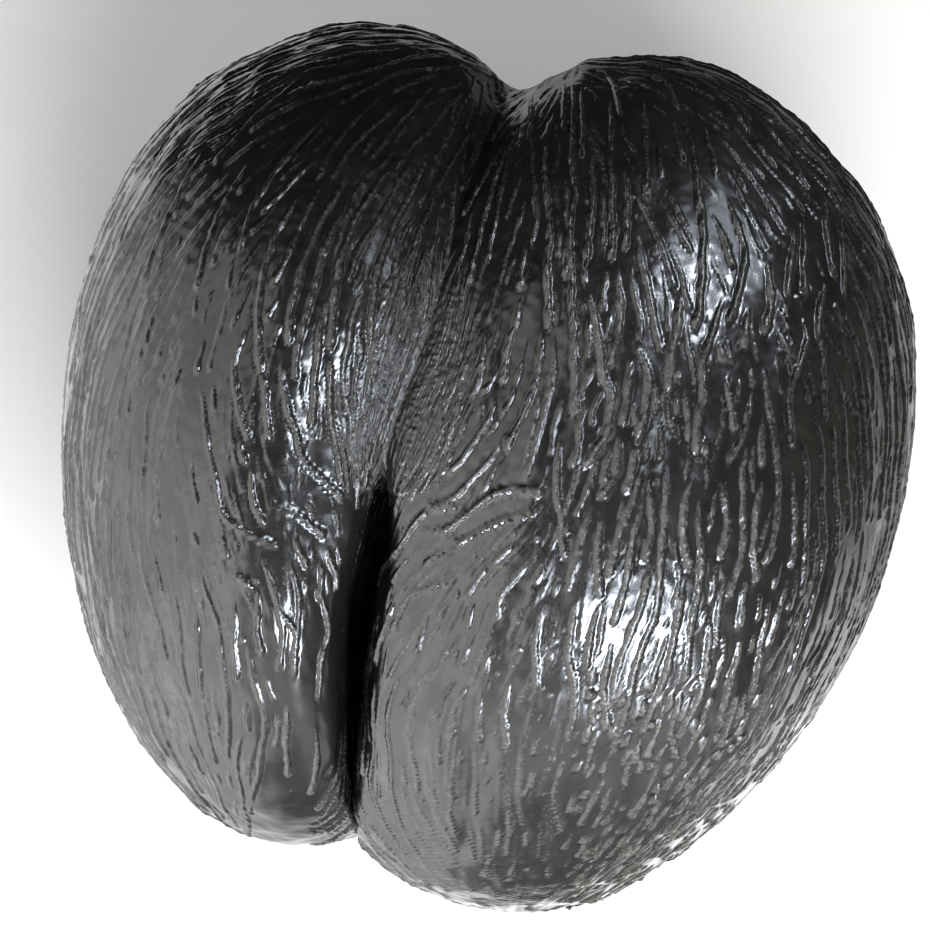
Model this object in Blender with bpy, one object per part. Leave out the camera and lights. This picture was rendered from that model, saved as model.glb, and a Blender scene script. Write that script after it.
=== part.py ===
"""Coco de mer, the husked double nut of the sea coconut palm, as one closed solid.

Metres, +Z up. The nut lies on its back: +Y is the end with the notch, -Y the two
lobe tips, +Z the face with the valley. It rests on two small flats at z = 0.
"""
import math

import bpy
import numpy as np

# Overall shape, before the notch and the cleft
HALF_LENGTH = 0.1516
HALF_WIDTH = 0.1466
FRONT_DEPTH = 0.0882
BACK_DEPTH = 0.0853
FRONT_SLOPE = -0.061
BACK_SLOPE = 0.07
# Each lobe's centre line lies this share of the half width from the middle
LOBE_OFFSET = 0.348
VALLEY_SOFTNESS = 0.157
WIDTH_SLOPE = 0.15
WIDTH_SWELL = 0.13
# Notch between the lobes at the top
NOTCH_DEPTH = 0.0327
NOTCH_WIDTH = 0.0363
# Cleft between the lobes at the bottom: a narrow part and a wide, shallow mouth
CLEFT_DEPTH = 0.120
CLEFT_WIDTH = 0.0105
CLEFT_POWER = 2.9
MOUTH_DEPTH = 0.0373
MOUTH_WIDTH = 0.0477
MOUTH_POWER = 1.26
# How far the lower lobes lean in toward each other
LOBE_LEAN = 0.0175
LEAN_POWER = 1.5
LEAN_START = 0.006
# The right lobe is larger than the left one, and the valley sways to the left
SIDE_DIFFERENCE = 0.084
SIDE_TAPER = -0.020
SIDE_BLEND = 0.040
EXTRA_TOP = 0.0070
EXTRA_TIP = 0.0040
EXTRA_BLEND = 0.030
VALLEY_SWAY = 0.018
SWAY_WIDTH = 0.060
# Flats under the back
FLAT_CUT = 0.0036

# Ridges: long raised lines that run from the notch to the lobe tips
RIDGES = 64
COLUMNS_PER_RIDGE = 3
RIDGE_HALF_WIDTH = 0.0027
RIDGE_HEIGHT = 0.0019
LEAST_RIDGE_SHARE = 0.6
FIBRE_SHARE = 0.35
FIBRE_ZONE = 0.024
RIDGE_SEED = 11
RIDGE_START = (0.02, 0.16)
RIDGE_END = (0.62, 1.0)
BREAK_CHANCE = 0.55
BREAK_LENGTH = 0.07
FADE = 0.05
MEANDER = 0.13
MERGE_SHIFT = 0.26
MERGE_LENGTH = 0.09
CLEFT_MARGIN = 0.026
FOOT_LIMIT = 0.30

# Rings run from the notch over the lobes to the cleft's arch
RINGS = 36
TURN_WEIGHT = 0.016
SAMPLES = 3000
SMALL_ANGLE = 1e-4

NUT_COLOUR = (0.022, 0.017, 0.013, 1.0)
NUT_ROUGHNESS = 0.28
SHARP_ANGLE = math.radians(50)


def side_of(x, blend):
    """Goes from -1 on the left lobe to 1 on the right one."""
    return np.tanh(x / blend)


def cleft(x):
    """How far the cleft reaches up from the tips, at this distance from the middle."""
    narrow = CLEFT_DEPTH * np.exp(-np.abs(x / CLEFT_WIDTH) ** CLEFT_POWER)
    mouth = MOUTH_DEPTH * np.exp(-np.abs(x / MOUTH_WIDTH) ** MOUTH_POWER)
    return narrow + mouth


def lean_in(x, y, lower):
    """Moves the lower lobes in toward the middle, most at their tips."""
    whole = CLEFT_DEPTH + MOUTH_DEPTH
    share = np.clip((whole - HALF_LENGTH - y) / whole, 0, 1)
    lean = LOBE_LEAN * share ** LEAN_POWER * lower ** 2 * np.tanh(np.abs(x) / LEAN_START)
    return x - np.sign(x) * np.minimum(np.abs(x), lean)


def sway(x, y):
    """How far the valley's line lies to the left, here."""
    middle = np.cos(math.pi / 2 * np.clip(y / HALF_LENGTH, -1, 1))
    return VALLEY_SWAY * middle * np.exp(-(x / SWAY_WIDTH) ** 2)


def shell_points(theta, phi):
    """Points of the smooth shell: theta from the notch to the cleft's arch, phi round the nut."""
    along = np.cos(theta)
    ring = np.sin(theta)
    side = np.cos(phi)
    face = np.sin(phi)
    upper = (1 + along) / 2
    lower = (1 - along) / 2
    fold = np.sqrt(side ** 2 + VALLEY_SOFTNESS ** 2) - VALLEY_SOFTNESS * (1 - np.abs(side))
    lobe = 1 - LOBE_OFFSET
    radius = LOBE_OFFSET * fold + np.sqrt(lobe ** 2 - (LOBE_OFFSET * face) ** 2)
    x = HALF_WIDTH * ring * radius * side * (1 + WIDTH_SLOPE * along + WIDTH_SWELL * along ** 2)
    depth = np.where(face > 0, FRONT_DEPTH, BACK_DEPTH)
    slope = np.where(face > 0, FRONT_SLOPE, BACK_SLOPE)
    z = depth * ring * radius * face / lobe * (1 + slope * along)
    y = HALF_LENGTH * along
    y = y + NOTCH_DEPTH * (1 - np.exp(-(x / NOTCH_WIDTH) ** 2)) * upper ** 2
    y = y + cleft(x) * lower ** 2
    y = y + side_of(x, EXTRA_BLEND) * (EXTRA_TOP * upper ** 2 - EXTRA_TIP * lower ** 2)
    x = lean_in(x, y, lower)
    x = x * (1 + (SIDE_DIFFERENCE + SIDE_TAPER * along) * side_of(x, SIDE_BLEND))
    x = x - sway(x, y)
    return np.stack([x, y, z], axis=-1)


def unit(vectors):
    return vectors / np.linalg.norm(vectors, axis=-1, keepdims=True)


def shell_normals(theta, phi):
    """Outward directions of the smooth shell, by small steps along it."""
    theta_step = shell_points(theta + SMALL_ANGLE, phi) - shell_points(theta - SMALL_ANGLE, phi)
    phi_step = shell_points(theta, phi + SMALL_ANGLE) - shell_points(theta, phi - SMALL_ANGLE)
    return unit(np.cross(phi_step, theta_step))


def running_length(points, turn_weight):
    """Distance walked along a line of points, with each turn counted as some extra distance."""
    steps = np.diff(points, axis=0)
    lengths = np.linalg.norm(steps, axis=1)
    directions = unit(steps)
    turns = np.arccos(np.clip((directions[1:] * directions[:-1]).sum(axis=1), -1, 1))
    walked = lengths + turn_weight * np.append(turns, 0)
    return np.append(0, np.cumsum(walked))


def ring_angles():
    """Theta of each ring, evenly spaced along both lobes' outer lines, closer where they turn."""
    theta = np.linspace(0, math.pi, SAMPLES)
    right = running_length(shell_points(theta, np.zeros(SAMPLES)), TURN_WEIGHT)
    left = running_length(shell_points(theta, np.full(SAMPLES, math.pi)), TURN_WEIGHT)
    walked = (right + left) / 2
    return np.interp(np.linspace(0, walked[-1], RINGS + 2)[1:-1], walked, theta)


def ridge_angles():
    """Phi of each ridge, evenly spaced round the nut's widest ring."""
    phi = np.linspace(0, 2 * math.pi, SAMPLES)
    walked = running_length(shell_points(np.full(SAMPLES, math.pi / 2), phi), 0)
    places = (np.arange(RIDGES) + 0.5) * walked[-1] / RIDGES
    return np.interp(places, walked, phi)


def tip_ring(angles):
    """Index of the ring at the lobe tips."""
    return int(np.argmin(shell_points(angles, np.zeros(len(angles)))[:, 1]))


def column_counts(tip):
    """Columns in each ring: fewer round the notch and up the cleft's walls."""
    full = RIDGES * COLUMNS_PER_RIDGE
    counts = [full] * RINGS
    counts[0] = full // 8
    counts[1] = full // 4
    counts[2] = full // 2
    for ring in range(tip + 2, RINGS):
        counts[ring] = full // 2
    for ring in range(RINGS - 2, RINGS):
        counts[ring] = full // 4
    return counts


def bump(share, centre, length):
    return np.exp(-((share - centre) / length) ** 2)


def ridge_heights(share, generator):
    """Height of each ridge at each share of the way to the tips, as a share of the full height."""
    start = generator.uniform(*RIDGE_START, RIDGES)[:, None]
    end = generator.uniform(*RIDGE_END, RIDGES)[:, None]
    height = generator.uniform(LEAST_RIDGE_SHARE, 1, RIDGES)[:, None]
    rise = np.clip((share - start) / FADE, 0, 1) * np.clip((end - share) / FADE, 0, 1)
    gap_place = generator.uniform(0.25, 0.85, RIDGES)[:, None]
    gap = (generator.random(RIDGES) < BREAK_CHANCE)[:, None]
    return height * rise * (1 - gap * np.clip(1.4 * bump(share, gap_place, BREAK_LENGTH), 0, 1))


def ridge_meander(share, generator):
    """Sideways shift of each ridge, as a share of the distance between ridges."""
    waves = generator.uniform(1.5, 5.0, (2, RIDGES, 1))
    phases = generator.uniform(0, 2 * math.pi, (2, RIDGES, 1))
    shift = MEANDER * np.sin(2 * math.pi * waves * share + phases).sum(axis=0) / 2
    for ridge in range(0, RIDGES - 1, 2):
        meeting = bump(share[0], generator.uniform(0.2, 0.9), MERGE_LENGTH)
        shift[ridge] += MERGE_SHIFT * meeting
        shift[ridge + 1] -= MERGE_SHIFT * meeting
    return shift


def ridged_columns(theta, centres, shift, heights):
    """One full ring: phi and height of each column, as foot, crest and foot of each ridge."""
    spacing = (np.roll(centres, -1) - np.roll(centres, 1)) % (2 * math.pi) / 2
    crest = centres + shift * spacing
    ahead = shell_points(np.full(RIDGES, theta), crest + SMALL_ANGLE)
    behind = shell_points(np.full(RIDGES, theta), crest - SMALL_ANGLE)
    speed = np.linalg.norm(ahead - behind, axis=1) / (2 * SMALL_ANGLE)
    foot = np.minimum(RIDGE_HALF_WIDTH / speed, FOOT_LIMIT * spacing)
    crowding = np.clip(foot * speed / RIDGE_HALF_WIDTH, 0, 1)
    valley = np.abs(np.cos(crest)) * HALF_WIDTH < FIBRE_ZONE
    share = np.where(valley & (np.sin(crest) > 0), FIBRE_SHARE, 1)
    place = shell_points(np.full(RIDGES, theta), crest)
    near_cleft = np.exp(-((place[:, 0] + sway(0, place[:, 1])) / CLEFT_MARGIN) ** 2)
    share = share * (1 - near_cleft * (1 - math.cos(theta)) / 2)
    lift = RIDGE_HEIGHT * heights * crowding * share
    phi = np.stack([crest - foot, crest, crest + foot], axis=1).reshape(-1)
    height = np.stack([0 * lift, lift, 0 * lift], axis=1).reshape(-1)
    return phi, height


def nut_rings():
    """The nut's points, ring by ring."""
    generator = np.random.default_rng(RIDGE_SEED)
    angles = ring_angles()
    centres = ridge_angles()
    tip = tip_ring(angles)
    counts = column_counts(tip)
    share = np.clip((np.arange(RINGS) - 3) / (tip - 2), 0, 1)[None, :]
    heights = ridge_heights(share, generator)
    shift = ridge_meander(share, generator)
    full = max(counts)
    rings = []
    for ring, count in enumerate(counts):
        edge = count < full or counts[ring - 1] < full or counts[min(ring + 1, RINGS - 1)] < full
        lift_here = heights[:, ring] * (0 if edge else 1)
        phi, lift = ridged_columns(angles[ring], centres, shift[:, ring], lift_here)
        skip = full // count
        theta = np.full(count, angles[ring])
        phi = phi[::skip]
        normals = shell_normals(theta, phi)
        rings.append(shell_points(theta, phi) + normals * lift[::skip, None])
    return rings


def ring_faces(first, first_count, second, second_count):
    """Faces between two rings of which the second has as many columns, half or twice as many."""
    faces = []
    if first_count == second_count:
        for column in range(first_count):
            after = (column + 1) % first_count
            faces.append((first + column, first + after, second + after, second + column))
        return faces
    wide_first = first_count > second_count
    fine, coarse = (first, second) if wide_first else (second, first)
    count = min(first_count, second_count)
    for column in range(count):
        after = (column + 1) % count
        left = fine + 2 * column
        middle = left + 1
        right = fine + 2 * after
        three = [
            (coarse + column, left, middle),
            (coarse + column, middle, coarse + after),
            (coarse + after, middle, right),
        ]
        faces.extend(tri if wide_first else tri[::-1] for tri in three)
    return faces


def nut_mesh():
    """Points and faces of the closed nut, with its flats cut."""
    rings = nut_rings()
    pole = np.zeros(1)
    notch = shell_points(pole, pole)
    arch = shell_points(pole + math.pi, pole)
    points = np.concatenate([notch] + rings + [arch])
    counts = [len(ring) for ring in rings]
    starts = np.append(1, 1 + np.cumsum(counts)).tolist()
    faces = [(0, 1 + (column + 1) % counts[0], 1 + column) for column in range(counts[0])]
    for ring in range(RINGS - 1):
        faces += ring_faces(starts[ring], counts[ring], starts[ring + 1], counts[ring + 1])
    last = starts[RINGS - 1]
    end = counts[RINGS - 1]
    faces += [(last + column, last + (column + 1) % end, len(points) - 1) for column in range(end)]
    return cut_flats(points), faces


def cut_flats(points):
    """Cuts the lowest part of each lobe flat, and sets the box's middle and floor at the origin."""
    floor = points[:, 2].min() + FLAT_CUT
    points[:, 2] = np.maximum(points[:, 2], floor) - floor
    points[:, :2] -= (points[:, :2].max(axis=0) + points[:, :2].min(axis=0)) / 2
    return points


def shell_material():
    material = bpy.data.materials.new("shell")
    material.use_nodes = True
    shader = material.node_tree.nodes["Principled BSDF"]
    shader.inputs["Base Color"].default_value = NUT_COLOUR
    shader.inputs["Roughness"].default_value = NUT_ROUGHNESS
    shader.inputs["Metallic"].default_value = 0.0
    return material


def build_nut():
    points, faces = nut_mesh()
    mesh = bpy.data.meshes.new("nut")
    mesh.from_pydata(points.tolist(), [], faces)
    mesh.shade_smooth()
    mesh.set_sharp_from_angle(angle=SHARP_ANGLE)
    mesh.materials.append(shell_material())
    nut = bpy.data.objects.new("nut", mesh)
    bpy.context.scene.collection.objects.link(nut)


def main():
    for old in list(bpy.data.objects):
        bpy.data.objects.remove(old)
    build_nut()


main()
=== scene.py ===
"""Coco de mer: the husked double nut, dressed with its polish, ridges and fibres."""
import math

import bpy
import numpy as np
from mathutils import Matrix, Vector


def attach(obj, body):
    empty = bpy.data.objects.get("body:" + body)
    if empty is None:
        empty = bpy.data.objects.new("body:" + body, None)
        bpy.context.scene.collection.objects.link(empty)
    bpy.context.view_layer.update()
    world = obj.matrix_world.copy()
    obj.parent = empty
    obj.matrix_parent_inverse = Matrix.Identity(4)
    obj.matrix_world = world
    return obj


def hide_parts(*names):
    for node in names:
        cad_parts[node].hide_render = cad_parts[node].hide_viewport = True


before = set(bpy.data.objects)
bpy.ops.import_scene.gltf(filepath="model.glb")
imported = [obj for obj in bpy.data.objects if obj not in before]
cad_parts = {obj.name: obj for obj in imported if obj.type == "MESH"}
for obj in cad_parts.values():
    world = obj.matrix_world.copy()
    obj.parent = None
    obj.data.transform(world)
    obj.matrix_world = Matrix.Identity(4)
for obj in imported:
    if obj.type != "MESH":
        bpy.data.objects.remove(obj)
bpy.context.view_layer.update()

# The smooth shell, as in the solid
HALF_LENGTH = 0.1516
HALF_WIDTH = 0.1466
FRONT_DEPTH = 0.0882
BACK_DEPTH = 0.0853
FRONT_SLOPE = -0.061
BACK_SLOPE = 0.07
LOBE_OFFSET = 0.348
VALLEY_SOFTNESS = 0.050
WIDTH_SLOPE = 0.15
WIDTH_SWELL = 0.13
NOTCH_DEPTH = 0.0327
NOTCH_WIDTH = 0.0363
CLEFT_DEPTH = 0.120
CLEFT_WIDTH = 0.0082
CLEFT_POWER = 2.9
MOUTH_DEPTH = 0.0373
MOUTH_WIDTH = 0.0477
MOUTH_POWER = 1.26
LOBE_LEAN = 0.0175
LEAN_POWER = 1.5
LEAN_START = 0.006
SIDE_DIFFERENCE = 0.084
SIDE_TAPER = -0.020
SIDE_BLEND = 0.040
EXTRA_TOP = 0.0070
EXTRA_TIP = 0.0040
EXTRA_BLEND = 0.030
VALLEY_SWAY = 0.018
SWAY_WIDTH = 0.060
SWAY_POWER = 0.6
SWAY_LESS = 0.6
SWAY_FADE_FROM = 0.030
SWAY_FADE = 0.12
SWAY_KINK = 0.0042
KINK_AT = 0.066
KINK_LENGTH = 0.030
# How far the top outline lies above or below the even form: x and rise, in millimetres
TOP_PLACES = (-140, -116, -96, -50, -40, -18, -12, -5, 4, 10, 20, 32, 48, 96, 120, 148)
TOP_RISES = (0, -0.3, -3.3, -2.7, -0.3, 5.7, 4.7, 1.3, -0.4, 1.2, 1.7, -4.4, -7.3, -7.1, -3.8, -2.0)
TOP_SOFTNESS = 0.002
TOP_SPAN = 0.16
TOP_STATIONS = 641
TOP_REACH = 0.012
TOP_STEP = 0.0005
# The foot of the right lobe is a little fuller: share, and its turn and spread in degrees
FOOT_FULLER = 0.028
FOOT_TURN = -60.0
FOOT_SPREAD = 15.0
FOOT_FROM = 0.05
FOOT_BLEND = 0.08
# The crease between the lobes, in front above the cleft
CREASE_DEPTH = 0.0050
CREASE_WIDTH = 0.0060
CREASE_POWER = 1.4
CREASE_FROM = 0.004
CREASE_BLEND = 0.040
# Deep inside the cleft the lobes all but touch
CLEFT_CLOSING = 0.68
CLOSING_DEPTH = 0.052
# In front, both lobes swell over the cleft, the right one more
SWELL_FROM = -0.0235
SWELL_SLANT = 0.20
SWELL_SHARE = 0.50
SWELL_SHARE_LEFT = 0.38
SWELL_WIDTH = 0.030
SWELL_MIDDLE = -0.062
SWELL_LENGTH = 0.044
SWELL_FRONT = 0.030
# Where the shell's own middle lies in the frame
SHIFT = np.array([-0.01218, -0.02314, 0.08106])
SMALL_ANGLE = 1e-4

SEED = 5
STEP = 0.0014
NOTCH_AT = (0.006, 0.176)
RIGHT_TIP_AT = (0.060, -0.168)
LEFT_TIP_AT = (-0.045, -0.162)
ARCH_AT = (-0.018, -0.002)
LOBE_BLEND = 0.012
# How the crotch draws the ridges in: in front and behind, how far, and how near the cleft it starts
ARCH_PULL = 0.75
ARCH_PULL_BEHIND = 0.3
ARCH_REACH = 0.062
ARCH_BELOW = 0.055
ARCH_AHEAD = 0.018
ARCH_BESIDE = 0.012
# How the ridges wander: lengths of the long and the short swing, and swings that neighbours share
SWING_LENGTHS = (0.016, 0.045)
KINK_LENGTHS = (0.005, 0.011)
KINK_SHARE = 0.45
SHARED_SWINGS = ((0.10, (170.0, 60.0, 140.0), 1.0), (0.08, (-90.0, 130.0, 210.0), 2.0))
# Where a ridge ends at the latest
LEAST_FLOW = 0.20
NOTCH_END = 0.10
ARCH_END = 0.012
SAMPLE_ROWS = 300
SAMPLE_COLUMNS = 420
CROWDING_LOW = (-0.165, -0.165, -0.105)
CROWDING_HIGH = (0.185, 0.205, 0.115)
CROWDING_CELL = 0.001
CROWDING_REACH = 9
PIECE_STATIONS = 15500

# Ridges that give the nut its own face, as points on its front in millimetres
KEY_RIDGES = (
    # left lobe and its crotch side
    ((-65, 51), (-67, 40), (-65, 32), (-62, 24), (-57, 17)),
    ((-77, 29), (-74, 26), (-71, 16), (-67, 7), (-63, -3), (-60, -8), (-53, -11), (-48, -12), (-43, -13)),
    ((-53, 42), (-49, 30), (-44, 21), (-40, 13), (-34, 9), (-27, 4)),
    ((-44, 63), (-43, 48), (-42, 39), (-41, 30), (-40, 24)),
    ((-46, -1), (-39, -3), (-34, -6), (-30, -8)),
    ((-39, 4), (-34, 2)),
    ((-55, 8), (-54, 2), (-52, -2), (-48, -8)),
    ((-39, -7), (-38, -12), (-35, -16), (-33, -19)),
    ((-29, -12), (-25, -19), (-24, -25)),
    ((-26, -11), (-24, -17)),
    ((-57, -24), (-53, -25), (-48, -27)),
    ((-54, 7), (-50, 6)),
    ((-30, -16), (-29, -20), (-28, -28)),
    ((-58, 37), (-55, 30), (-52, 18)),
    ((-72, 31), (-70, 23)),
    ((-97, 43), (-98, 36), (-98, 32)),
    ((-95, 53), (-97, 44), (-97, 38)),
    ((-94, 28), (-98, 24), (-99, 17), (-100, 6), (-102, -6)),
    ((-83, 36), (-85, 26)),
    ((-59, 93), (-63, 80), (-64, 65), (-62, 50), (-58, 37)),
    ((-46, 101), (-51, 85), (-53, 70), (-53, 55), (-52, 47)),
    ((-34, 108), (-40, 91), (-42, 76), (-41, 61), (-39, 48)),
    ((-23, 114), (-27, 98), (-30, 82), (-30, 66), (-28, 52)),
    ((-12, 128), (-17, 111), (-20, 95), (-22, 79), (-21, 65)),
    ((-77, 102), (-82, 86), (-84, 71), (-84, 58)),
    ((-94, 103), (-99, 86), (-102, 70), (-103, 57)),
    ((-56, 123), (-66, 104), (-72, 88), (-73, 73)),
    ((-42, 132), (-51, 114), (-55, 99)),
    ((-25, 143), (-34, 125), (-40, 110)),
    ((-69, 132), (-81, 115), (-89, 99)),
    ((-60, 16), (-59, 12), (-56, 10)),
    ((-53, -32), (-51, -45), (-48, -58)),
    ((-46, -28), (-45, -38), (-42, -48)),
    ((-28, -26), (-24, -36), (-24, -47), (-23, -60)),
    ((-45, -64), (-42, -74)),
    ((-32, -62), (-30, -76), (-28, -88)),
    ((-22, -69), (-20, -83), (-21, -94)),
    # right lobe beside the crotch, with the long double step
    ((-3, -1), (3, 0), (7, 2), (12, 8), (15, 12), (20, 16), (26, 18), (33, 19)),
    ((-1, 6), (3, 7), (5, 8), (8, 8)),
    ((-11, -26), (-11, -18), (-7, -7), (-4, 0), (-1, 6)),
    ((17, 31), (16, 27), (12, 20), (7, 12), (0, 7)),
    ((12, 44), (13, 40), (8, 26), (3, 18)),
    ((34, 15), (30, 11), (23, 8), (16, 3), (10, -3)),
    ((7, -5), (1, -11)),
    ((11, -14), (5, -17), (-1, -21)),
    ((21, -6), (18, -12), (16, -18)),
    ((27, 1), (24, -3), (22, -6)),
    ((33, -2), (29, -10), (26, -16), (26, -23)),
    ((2, 57), (2, 44), (2, 35), (1, 25)),
    ((6, 64), (7, 51), (6, 42)),
    ((15, 75), (14, 62), (14, 53), (14, 48)),
    ((-5, -24), (-7, -35), (-8, -46)),
    ((6, -27), (5, -34), (4, -39)),
    ((39, -17), (40, -29), (43, -42)),
    ((20, -30), (19, -39)),
    ((34, -40), (35, -52), (38, -63)),
    # top of the right lobe
    ((5, 147), (9, 123), (14, 104), (15, 93)),
    ((15, 152), (18, 132)),
    ((21, 150), (25, 126)),
    ((18, 152), (22, 124), (25, 112), (25, 99), (27, 84)),
    ((13, 127), (15, 114), (19, 101), (21, 86), (25, 68)),
    ((28, 126), (31, 109), (32, 91)),
    ((34, 126), (37, 110), (40, 92)),
    ((31, 146), (34, 128)),
    ((27, 158), (32, 151), (35, 140)),
    ((41, 149), (44, 135), (47, 116)),
    ((51, 144), (56, 131)),
    ((48, 133), (51, 122)),
    ((55, 143), (60, 131), (64, 113)),
    ((62, 143), (68, 126)),
    ((74, 152), (79, 143), (88, 134)),
    ((58, 160), (69, 153), (77, 144)),
    ((3, 136), (2, 116), (2, 99), (2, 85)),
    ((1, 124), (-1, 107), (-2, 92), (-2, 77)),
    ((45, 160), (50, 152), (53, 146)),
    ((39, 122), (42, 108), (43, 96)),
    ((80, 151), (91, 141), (100, 129)),
    # middle of the right lobe
    ((21, 116), (26, 97), (30, 79), (34, 62), (38, 43)),
    ((35, 81), (41, 66), (43, 58), (47, 52), (48, 44), (47, 37), (43, 28)),
    ((52, 67), (56, 62), (58, 57), (58, 49), (58, 41)),
    ((61, 123), (65, 114), (67, 102), (69, 87), (69, 76)),
    ((63, 85), (63, 74), (63, 65), (64, 56)),
    ((76, 87), (74, 76), (73, 67), (75, 55), (75, 46), (76, 39)),
    ((75, 46), (78, 42), (80, 39)),
    ((72, 119), (76, 113), (81, 101), (80, 89), (79, 80)),
    ((81, 64), (84, 55), (87, 48)),
    ((90, 61), (90, 50), (88, 43), (86, 38)),
    ((96, 115), (96, 102), (96, 92)),
    ((98, 122), (100, 107), (102, 94)),
    ((105, 129), (108, 113), (112, 102)),
    ((109, 100), (108, 87), (112, 75), (114, 63), (116, 57)),
    ((102, 88), (105, 81), (104, 74), (102, 66), (103, 58), (106, 46)),
    ((112, 123), (114, 107), (116, 97)),
    ((84, 86), (85, 73)),
    ((88, 102), (91, 90), (91, 79)),
    ((52, 39), (53, 29), (50, 20)),
    ((35, 35), (36, 23), (40, 11), (43, 0)),
    ((51, 14), (53, 2), (56, -10)),
    ((63, 28), (67, 17), (67, 4)),
    ((76, 31), (76, 18), (81, 4)),
    ((85, 33), (90, 21), (90, 9)),
    ((98, 35), (99, 19), (103, 4)),
    ((107, 40), (112, 24), (114, 9)),
    ((49, -12), (50, -27), (55, -42), (56, -56)),
    ((62, -22), (63, -37), (67, -50)),
    ((55, -62), (56, -77), (61, -87)),
    ((87, -34), (87, -47), (91, -57)),
    ((102, -15), (102, -32), (102, -45)),
    ((109, -1), (110, -17), (111, -34)),
)
# Those of them that form the step beside the crotch
STEP_RIDGES = (37, 38, 39)
# Those of them whose lower end closes in a needle's eye
NEEDLE_EYES = (3, 58, 61, 65, 66, 79)


# The shell's form


def side_of(x, blend):
    return np.tanh(x / blend)


def cleft(x, z):
    width = CLEFT_WIDTH * (1 - CLEFT_CLOSING * np.exp(-(z / CLOSING_DEPTH) ** 2))
    narrow = CLEFT_DEPTH * np.exp(-np.abs(x / width) ** CLEFT_POWER)
    mouth = MOUTH_DEPTH * np.exp(-np.abs(x / MOUTH_WIDTH) ** MOUTH_POWER)
    return narrow + mouth


def crease(x, y):
    """1 along the bottom of the valley between the lobes, from the notch down to the cleft."""
    low = np.clip((y - CREASE_FROM) / CREASE_BLEND, 0, 1)
    return np.exp(-np.abs(x / CREASE_WIDTH) ** CREASE_POWER) * low * low * (3 - 2 * low)


def fuller_foot(x, y):
    """How much further out the foot of the right lobe reaches, as a share."""
    turn = np.degrees(np.arctan2(y, x))
    outer = np.clip((np.hypot(x, y) - FOOT_FROM) / FOOT_BLEND, 0, 1) ** 2
    return FOOT_FULLER * outer * np.exp(-((turn - FOOT_TURN) / FOOT_SPREAD) ** 2)


def lean_in(x, y, lower):
    whole = CLEFT_DEPTH + MOUTH_DEPTH
    share = np.clip((whole - HALF_LENGTH - y) / whole, 0, 1)
    lean = LOBE_LEAN * share ** LEAN_POWER * lower ** 2 * np.tanh(np.abs(x) / LEAN_START)
    return x - np.sign(x) * np.minimum(np.abs(x), lean)


def sway(x, y):
    middle = np.cos(math.pi / 2 * np.clip(y / HALF_LENGTH, -1, 1))
    low = np.clip((SWAY_FADE_FROM - y) / SWAY_FADE, 0, 1)
    middle = np.where(y > 0, np.maximum(middle, 1e-6) ** SWAY_POWER, middle)
    middle = middle * (1 - SWAY_LESS * low * low * (3 - 2 * low))
    kink = SWAY_KINK * np.exp(-((y - KINK_AT) / KINK_LENGTH) ** 2)
    return (VALLEY_SWAY * middle - kink) * np.exp(-(x / SWAY_WIDTH) ** 2)


def swell_over(x, y, z):
    """The lobes' inner edges, moved over the cleft, the right one further."""
    offset = x - SWELL_FROM + SWELL_SLANT * (y - SWELL_MIDDLE)
    front = np.clip(z / SWELL_FRONT, 0, 1) ** 2
    share = np.where(offset > 0, SWELL_SHARE, SWELL_SHARE_LEFT) * front
    share = share * np.exp(-((y - SWELL_MIDDLE) / SWELL_LENGTH) ** 4)
    return x - share * offset * np.exp(-(offset / SWELL_WIDTH) ** 2)


def softened_top():
    """The top outline as an even, softened row of rises."""
    x = np.linspace(-TOP_SPAN, TOP_SPAN, TOP_STATIONS)
    rises = np.interp(x, np.array(TOP_PLACES) / 1000, np.array(TOP_RISES) / 1000)
    reach = np.arange(-TOP_REACH, TOP_REACH + TOP_STEP / 50, TOP_STEP)
    weights = np.exp(-(reach / TOP_SOFTNESS) ** 2)
    padded = np.pad(rises, len(reach) // 2, mode="edge")
    return x, np.convolve(padded, weights / weights.sum(), mode="valid")


TOP_X, TOP_LIFT = softened_top()


def shell_points(theta, phi):
    """Points of the smooth shell: theta from the notch to the cleft's arch, phi round the nut."""
    along = np.cos(theta)
    ring = np.sin(theta)
    side = np.cos(phi)
    face = np.sin(phi)
    upper = (1 + along) / 2
    lower = (1 - along) / 2
    fold = np.sqrt(side ** 2 + VALLEY_SOFTNESS ** 2) - VALLEY_SOFTNESS * (1 - np.abs(side))
    lobe = 1 - LOBE_OFFSET
    radius = LOBE_OFFSET * fold + np.sqrt(lobe ** 2 - (LOBE_OFFSET * face) ** 2)
    x = HALF_WIDTH * ring * radius * side * (1 + WIDTH_SLOPE * along + WIDTH_SWELL * along ** 2)
    depth = np.where(face > 0, FRONT_DEPTH, BACK_DEPTH)
    slope = np.where(face > 0, FRONT_SLOPE, BACK_SLOPE)
    z = depth * ring * radius * face / lobe * (1 + slope * along)
    y = HALF_LENGTH * along
    y = y + NOTCH_DEPTH * (1 - np.exp(-(x / NOTCH_WIDTH) ** 2)) * upper ** 2
    y = y + cleft(x, z) * lower ** 2
    y = y + side_of(x, EXTRA_BLEND) * (EXTRA_TOP * upper ** 2 - EXTRA_TIP * lower ** 2)
    y = y + np.interp(x, TOP_X, TOP_LIFT) * upper ** 3
    z = z - np.where(face > 0, face, 0) * CREASE_DEPTH * crease(x, y)
    x = lean_in(x, y, lower)
    x = x * (1 + (SIDE_DIFFERENCE + SIDE_TAPER * along) * side_of(x, SIDE_BLEND))
    x = x - sway(x, y)
    x = swell_over(x, y, z)
    fuller = fuller_foot(x, y)
    x = x * (1 + fuller)
    y = y * (1 + fuller)
    return np.stack([x, y, z], axis=-1)


def unit(vectors):
    return vectors / (np.linalg.norm(vectors, axis=-1, keepdims=True) + 1e-12)


def dot(one, other):
    return (one * other).sum(axis=-1)


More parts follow.
